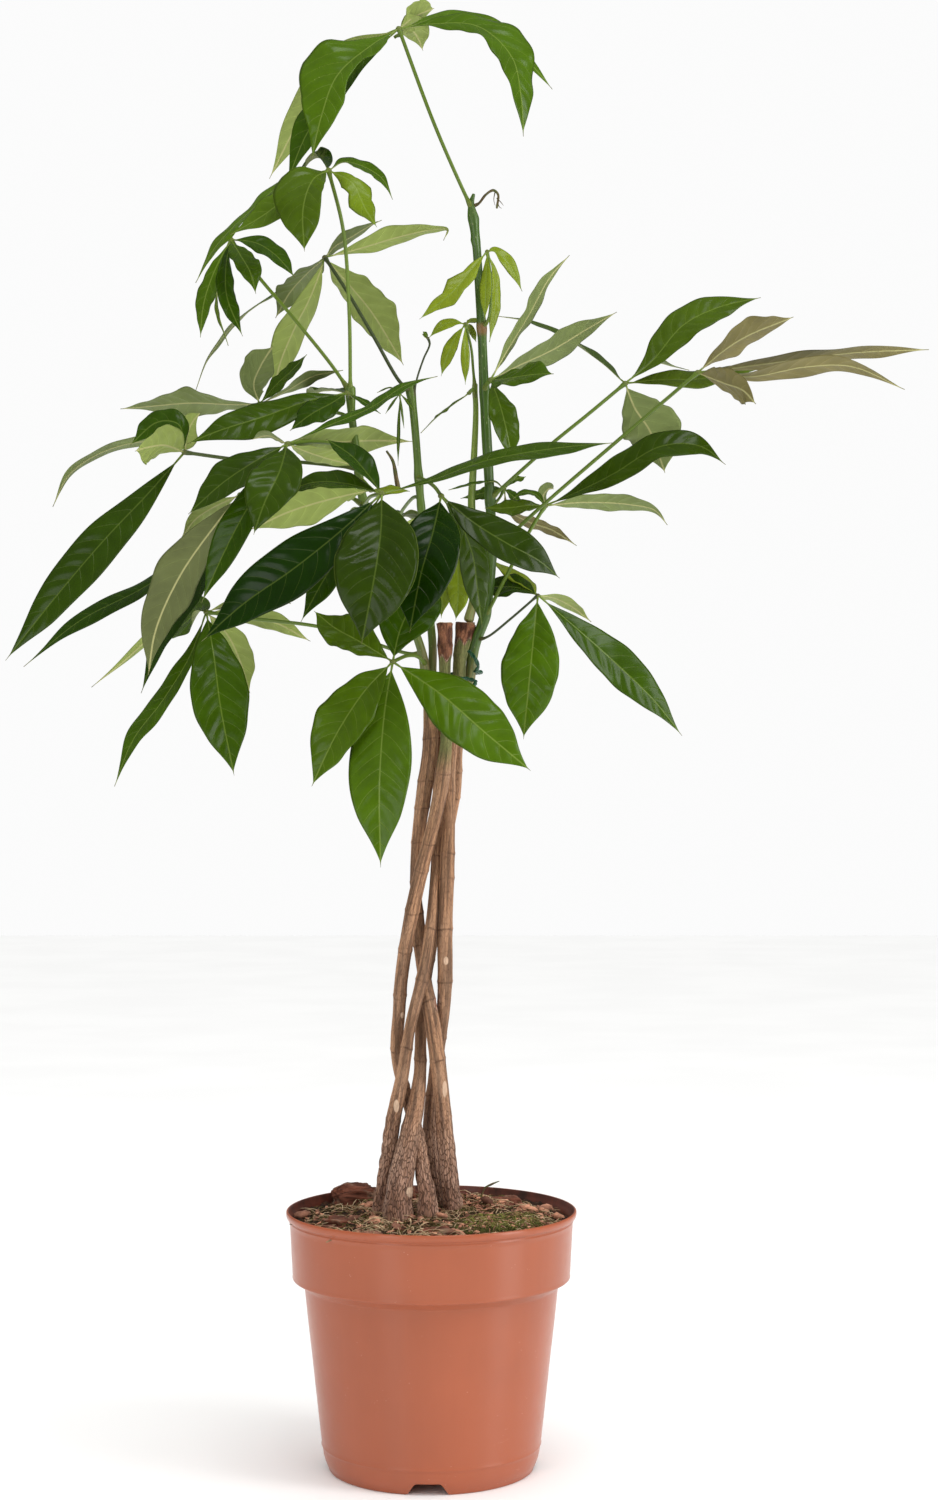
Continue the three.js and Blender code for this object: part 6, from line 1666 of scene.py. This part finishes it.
class TreeSettings(bpy.types.PropertyGroup):
    """The trunks, the shoots and the leaves."""

    trunk: colour_setting("Trunk", "Colour of the trunks' bark", 160, 120, 90)
    shoot: colour_setting("Shoot", "Colour of the green shoots", 60, 92, 30)
    tie: colour_setting("Tie", "Colour of the twisted wire", 16, 70, 44)
    leaf_dark: colour_setting("Old leaf", "Upper face of the darkest leaflets", 19, 44, 0)
    leaf_fresh: colour_setting("Fresh leaf", "Upper face of the lightest green leaflets", 70, 102, 8)
    leaf_yellow: colour_setting("Young leaf", "Upper face of the youngest leaflets", 136, 150, 36)
    under_grey: colour_setting("Underside", "Underside of most leaflets", 118, 134, 76)
    under_olive: colour_setting("Olive underside", "Underside of the olive leaflets", 124, 116, 70)
    under_fresh: colour_setting("Fresh underside", "Underside of the palest leaflets", 150, 166, 84)


class StageSettings(bpy.types.PropertyGroup):
    """The floor, the lights and the camera."""

    floor_size: FloatProperty(
        name="Floor size", description="Width of the floor", default=14.0, min=1.0,
        unit="LENGTH", subtype="DISTANCE"
    )
    lens: FloatProperty(
        name="Lens", description="Focal length in millimetres", default=58.1, min=20,
        subtype="DISTANCE_CAMERA"
    )
    wall_light: room_setting("Wall light", "Light from the room's walls", 0.25)
    ceiling_light: room_setting("Ceiling light", "Light from straight above", 1.4)
    mirrored_light: room_setting("Mirrored light", "The room as gloss shows it", 0.15)
    backdrop: room_setting("Backdrop", "How bright the room looks", 0.97)
    main_light: power_setting("Main light", 27.0)
    fill_light: power_setting("Fill light", 8.0)
    top_light: power_setting("Top light", 12.0)


# --- Operators ---------------------------------------------------


class MONEYTREE_OT_pot(bpy.types.Operator):
    """Build the nursery pot"""

    bl_idname = "moneytree.pot"
    bl_label = "Pot"

    def execute(self, context):
        build_pot(pot_finish(tuple(context.scene.money_tree_pot.plastic)))
        return {"FINISHED"}


class MONEYTREE_OT_soil(bpy.types.Operator):
    """Build the potting mix with its scraps, bark and moss"""

    bl_idname = "moneytree.soil"
    bl_label = "Soil"

    def execute(self, context):
        s = context.scene.money_tree_pot
        moss = tuple(s.moss)
        scraps = scrap_finish("scraps", moss)
        build_soil(mix_finish(tuple(s.peat)), scraps, lump_finish(tuple(s.bark)), moss_finish(moss))
        return {"FINISHED"}


class MONEYTREE_OT_trunks(bpy.types.Operator):
    """Build the five braided trunks"""

    bl_idname = "moneytree.trunks"
    bl_label = "Trunks"

    def execute(self, context):
        build_trunks(trunk_finish(tuple(context.scene.money_tree.trunk)), cut_finish())
        return {"FINISHED"}


class MONEYTREE_OT_shoots(bpy.types.Operator):
    """Build the green shoots, the withered bud and the dead stalk"""

    bl_idname = "moneytree.shoots"
    bl_label = "Shoots"

    def execute(self, context):
        build_shoots(shoot_finish(tuple(context.scene.money_tree.shoot)), dry_finish())
        return {"FINISHED"}


class MONEYTREE_OT_tie(bpy.types.Operator):
    """Build the twisted wire that ties the braid's top"""

    bl_idname = "moneytree.tie"
    bl_label = "Tie"

    def execute(self, context):
        build_tie(tie_finish(tuple(context.scene.money_tree.tie)))
        return {"FINISHED"}


class MONEYTREE_OT_leaves(bpy.types.Operator):
    """Build the compound leaves"""

    bl_idname = "moneytree.leaves"
    bl_label = "Leaves"

    def execute(self, context):
        s = context.scene.money_tree
        dark, fresh, yellow = tuple(s.leaf_dark), tuple(s.leaf_fresh), tuple(s.leaf_yellow)
        upper = leaf_upper_finish(dark, fresh, yellow)
        under = leaf_under_finish(tuple(s.under_grey), tuple(s.under_olive), tuple(s.under_fresh))
        build_leaves([upper, under, petiole_finish(dark, fresh, yellow)])
        return {"FINISHED"}


class MONEYTREE_OT_stage(bpy.types.Operator):
    """Lay the floor and set the lights and the camera"""

    bl_idname = "moneytree.stage"
    bl_label = "Stage"

    def execute(self, context):
        build_stage(context)
        return {"FINISHED"}


# Each light's place and the spot that it points to, in metres, and its width and height
LIGHTS = {
    "main_light": ((2.0, -0.9, 1.15), (0, 0, 0.7), 0.8, 2.1),
    "fill_light": ((-1.2, -1.95, 0.85), (0, 0, 0.5), 0.7, 1.6),
    "top_light": ((0.5, -1.0, 2.9), (0, 0, 0.7), 1.2, 0.7),
}
FLOOR_POINTS = 9  # along each side of the floor
SENSOR_WIDTH = 36
CAMERA_SHIFT = 0.0227  # lifts the picture's middle over the camera's own height


def area_light(name, place, target, width, height, power):
    """An oblong soft light at place that points to target."""
    light = bpy.data.lights.new(name, "AREA")
    light.shape = "RECTANGLE"
    light.size = width
    light.size_y = height
    light.energy = power
    lamp = bpy.data.objects.new(name, light)
    lamp.location = place
    direction = np.array(target, float) - np.array(place, float)
    yaw = math.atan2(direction[1], direction[0])
    pitch = math.atan2(direction[2], math.hypot(direction[0], direction[1]))
    lamp.rotation_euler = (pitch + math.pi / 2, 0, yaw - math.pi / 2)
    bpy.context.scene.collection.objects.link(lamp)


def build_stage(context):
    """A plain pale floor, an even bright room, three soft lights, and a level camera in front of the
    tree."""
    s = context.scene.money_tree_stage
    build_floor(s.floor_size / 2)
    context.scene.world = lit_room(s)
    for name, row in LIGHTS.items():
        area_light(name, *row, getattr(s, name))

    camera = bpy.data.cameras.new("camera")
    camera.lens = s.lens
    camera.sensor_width = SENSOR_WIDTH
    camera.shift_y = CAMERA_SHIFT
    seat = bpy.data.objects.new("camera", camera)
    seat.location = (VIEW_X * MM, -VIEW_DISTANCE * MM, VIEW_HEIGHT * MM)
    seat.rotation_euler = (math.pi / 2, 0, 0)
    context.scene.collection.objects.link(seat)
    context.scene.camera = seat
    context.scene.view_settings.view_transform = "Standard"


def build_floor(half):
    """The floor: a flat square grid of pale paper."""
    steps = np.linspace(-half, half, FLOOR_POINTS)
    x, y = np.meshgrid(steps, steps, indexing="ij")
    mesh = bpy.data.meshes.new("floor")
    index = np.arange(FLOOR_POINTS**2).reshape(FLOOR_POINTS, FLOOR_POINTS)
    faces = np.stack([index[:-1, :-1], index[1:, :-1], index[1:, 1:], index[:-1, 1:]], -1).reshape(-1, 4)
    mesh.from_pydata(np.stack([x, y, 0 * x], -1).reshape(-1, 3).tolist(), [], faces.tolist())
    floor = bpy.data.objects.new("floor", mesh)
    f = Finish("pale_floor")
    tone = f.step(f.noise(f.place(), 3, 2), 0.3, 0.7, 0.0, 1.0)
    paper = f.blend(tone, tint(249, 249, 248), tint(252, 252, 251))
    mesh.materials.append(f.surface(paper, 0.8, Specular_IOR_Level=0.1))
    bpy.context.scene.collection.objects.link(floor)


def lit_room(s):
    """The world: white light that grows from the walls' to the ceiling's with the direction's height, dimmer
    where gloss mirrors it, and an even backdrop where the camera sees it."""
    world = bpy.data.worlds.new("room")
    world.use_nodes = True
    tree = world.node_tree
    upward = tree.nodes.new("ShaderNodeSeparateXYZ")
    tree.links.new(tree.nodes.new("ShaderNodeTexCoord").outputs["Generated"], upward.inputs[0])
    lit = tree.nodes.new("ShaderNodeMapRange")
    lit.inputs["To Min"].default_value = s.wall_light
    lit.inputs["To Max"].default_value = s.ceiling_light
    tree.links.new(upward.outputs["Z"], lit.inputs["Value"])
    path = tree.nodes.new("ShaderNodeLightPath")
    strength = lit.outputs[0]
    for ray, special in (("Is Glossy Ray", s.mirrored_light), ("Is Camera Ray", s.backdrop)):
        choice = tree.nodes.new("ShaderNodeMix")
        share, usual, other = (choice.inputs[k] for k in (0, 2, 3))
        tree.links.new(path.outputs[ray], share)
        tree.links.new(strength, usual)
        other.default_value = special
        strength = choice.outputs[0]
    tree.links.new(strength, tree.nodes["Background"].inputs["Strength"])
    tree.nodes["Background"].inputs["Color"].default_value = (1.0, 1.0, 1.0, 1.0)
    return world


class MONEYTREE_PT_panel(bpy.types.Panel):
    """Money tree"""

    bl_label = "Money Tree"
    bl_idname = "MONEYTREE_PT_panel"
    bl_space_type = "VIEW_3D"
    bl_region_type = "UI"
    bl_category = "Money Tree"

    def draw(self, context):
        for step in STEPS:
            self.layout.operator(step.bl_idname)
        for group in (context.scene.money_tree_pot, context.scene.money_tree, context.scene.money_tree_stage):
            for key in group.__annotations__:
                self.layout.prop(group, key)


STEPS = [
    MONEYTREE_OT_pot,
    MONEYTREE_OT_soil,
    MONEYTREE_OT_trunks,
    MONEYTREE_OT_shoots,
    MONEYTREE_OT_tie,
    MONEYTREE_OT_leaves,
    MONEYTREE_OT_stage,
]
CLASSES = [PotSettings, TreeSettings, StageSettings, *STEPS, MONEYTREE_PT_panel]


def register():
    for item in CLASSES:
        bpy.utils.register_class(item)
    bpy.types.Scene.money_tree_pot = PointerProperty(type=PotSettings)
    bpy.types.Scene.money_tree = PointerProperty(type=TreeSettings)
    bpy.types.Scene.money_tree_stage = PointerProperty(type=StageSettings)


def unregister():
    del bpy.types.Scene.money_tree_stage
    del bpy.types.Scene.money_tree
    del bpy.types.Scene.money_tree_pot
    for item in reversed(CLASSES):
        bpy.utils.unregister_class(item)


def main():
    register()
    bpy.ops.moneytree.pot()
    bpy.ops.moneytree.soil()
    bpy.ops.moneytree.trunks()
    bpy.ops.moneytree.shoots()
    bpy.ops.moneytree.tie()
    bpy.ops.moneytree.leaves()
    bpy.ops.moneytree.stage()


if __name__ == "__main__":
    main()
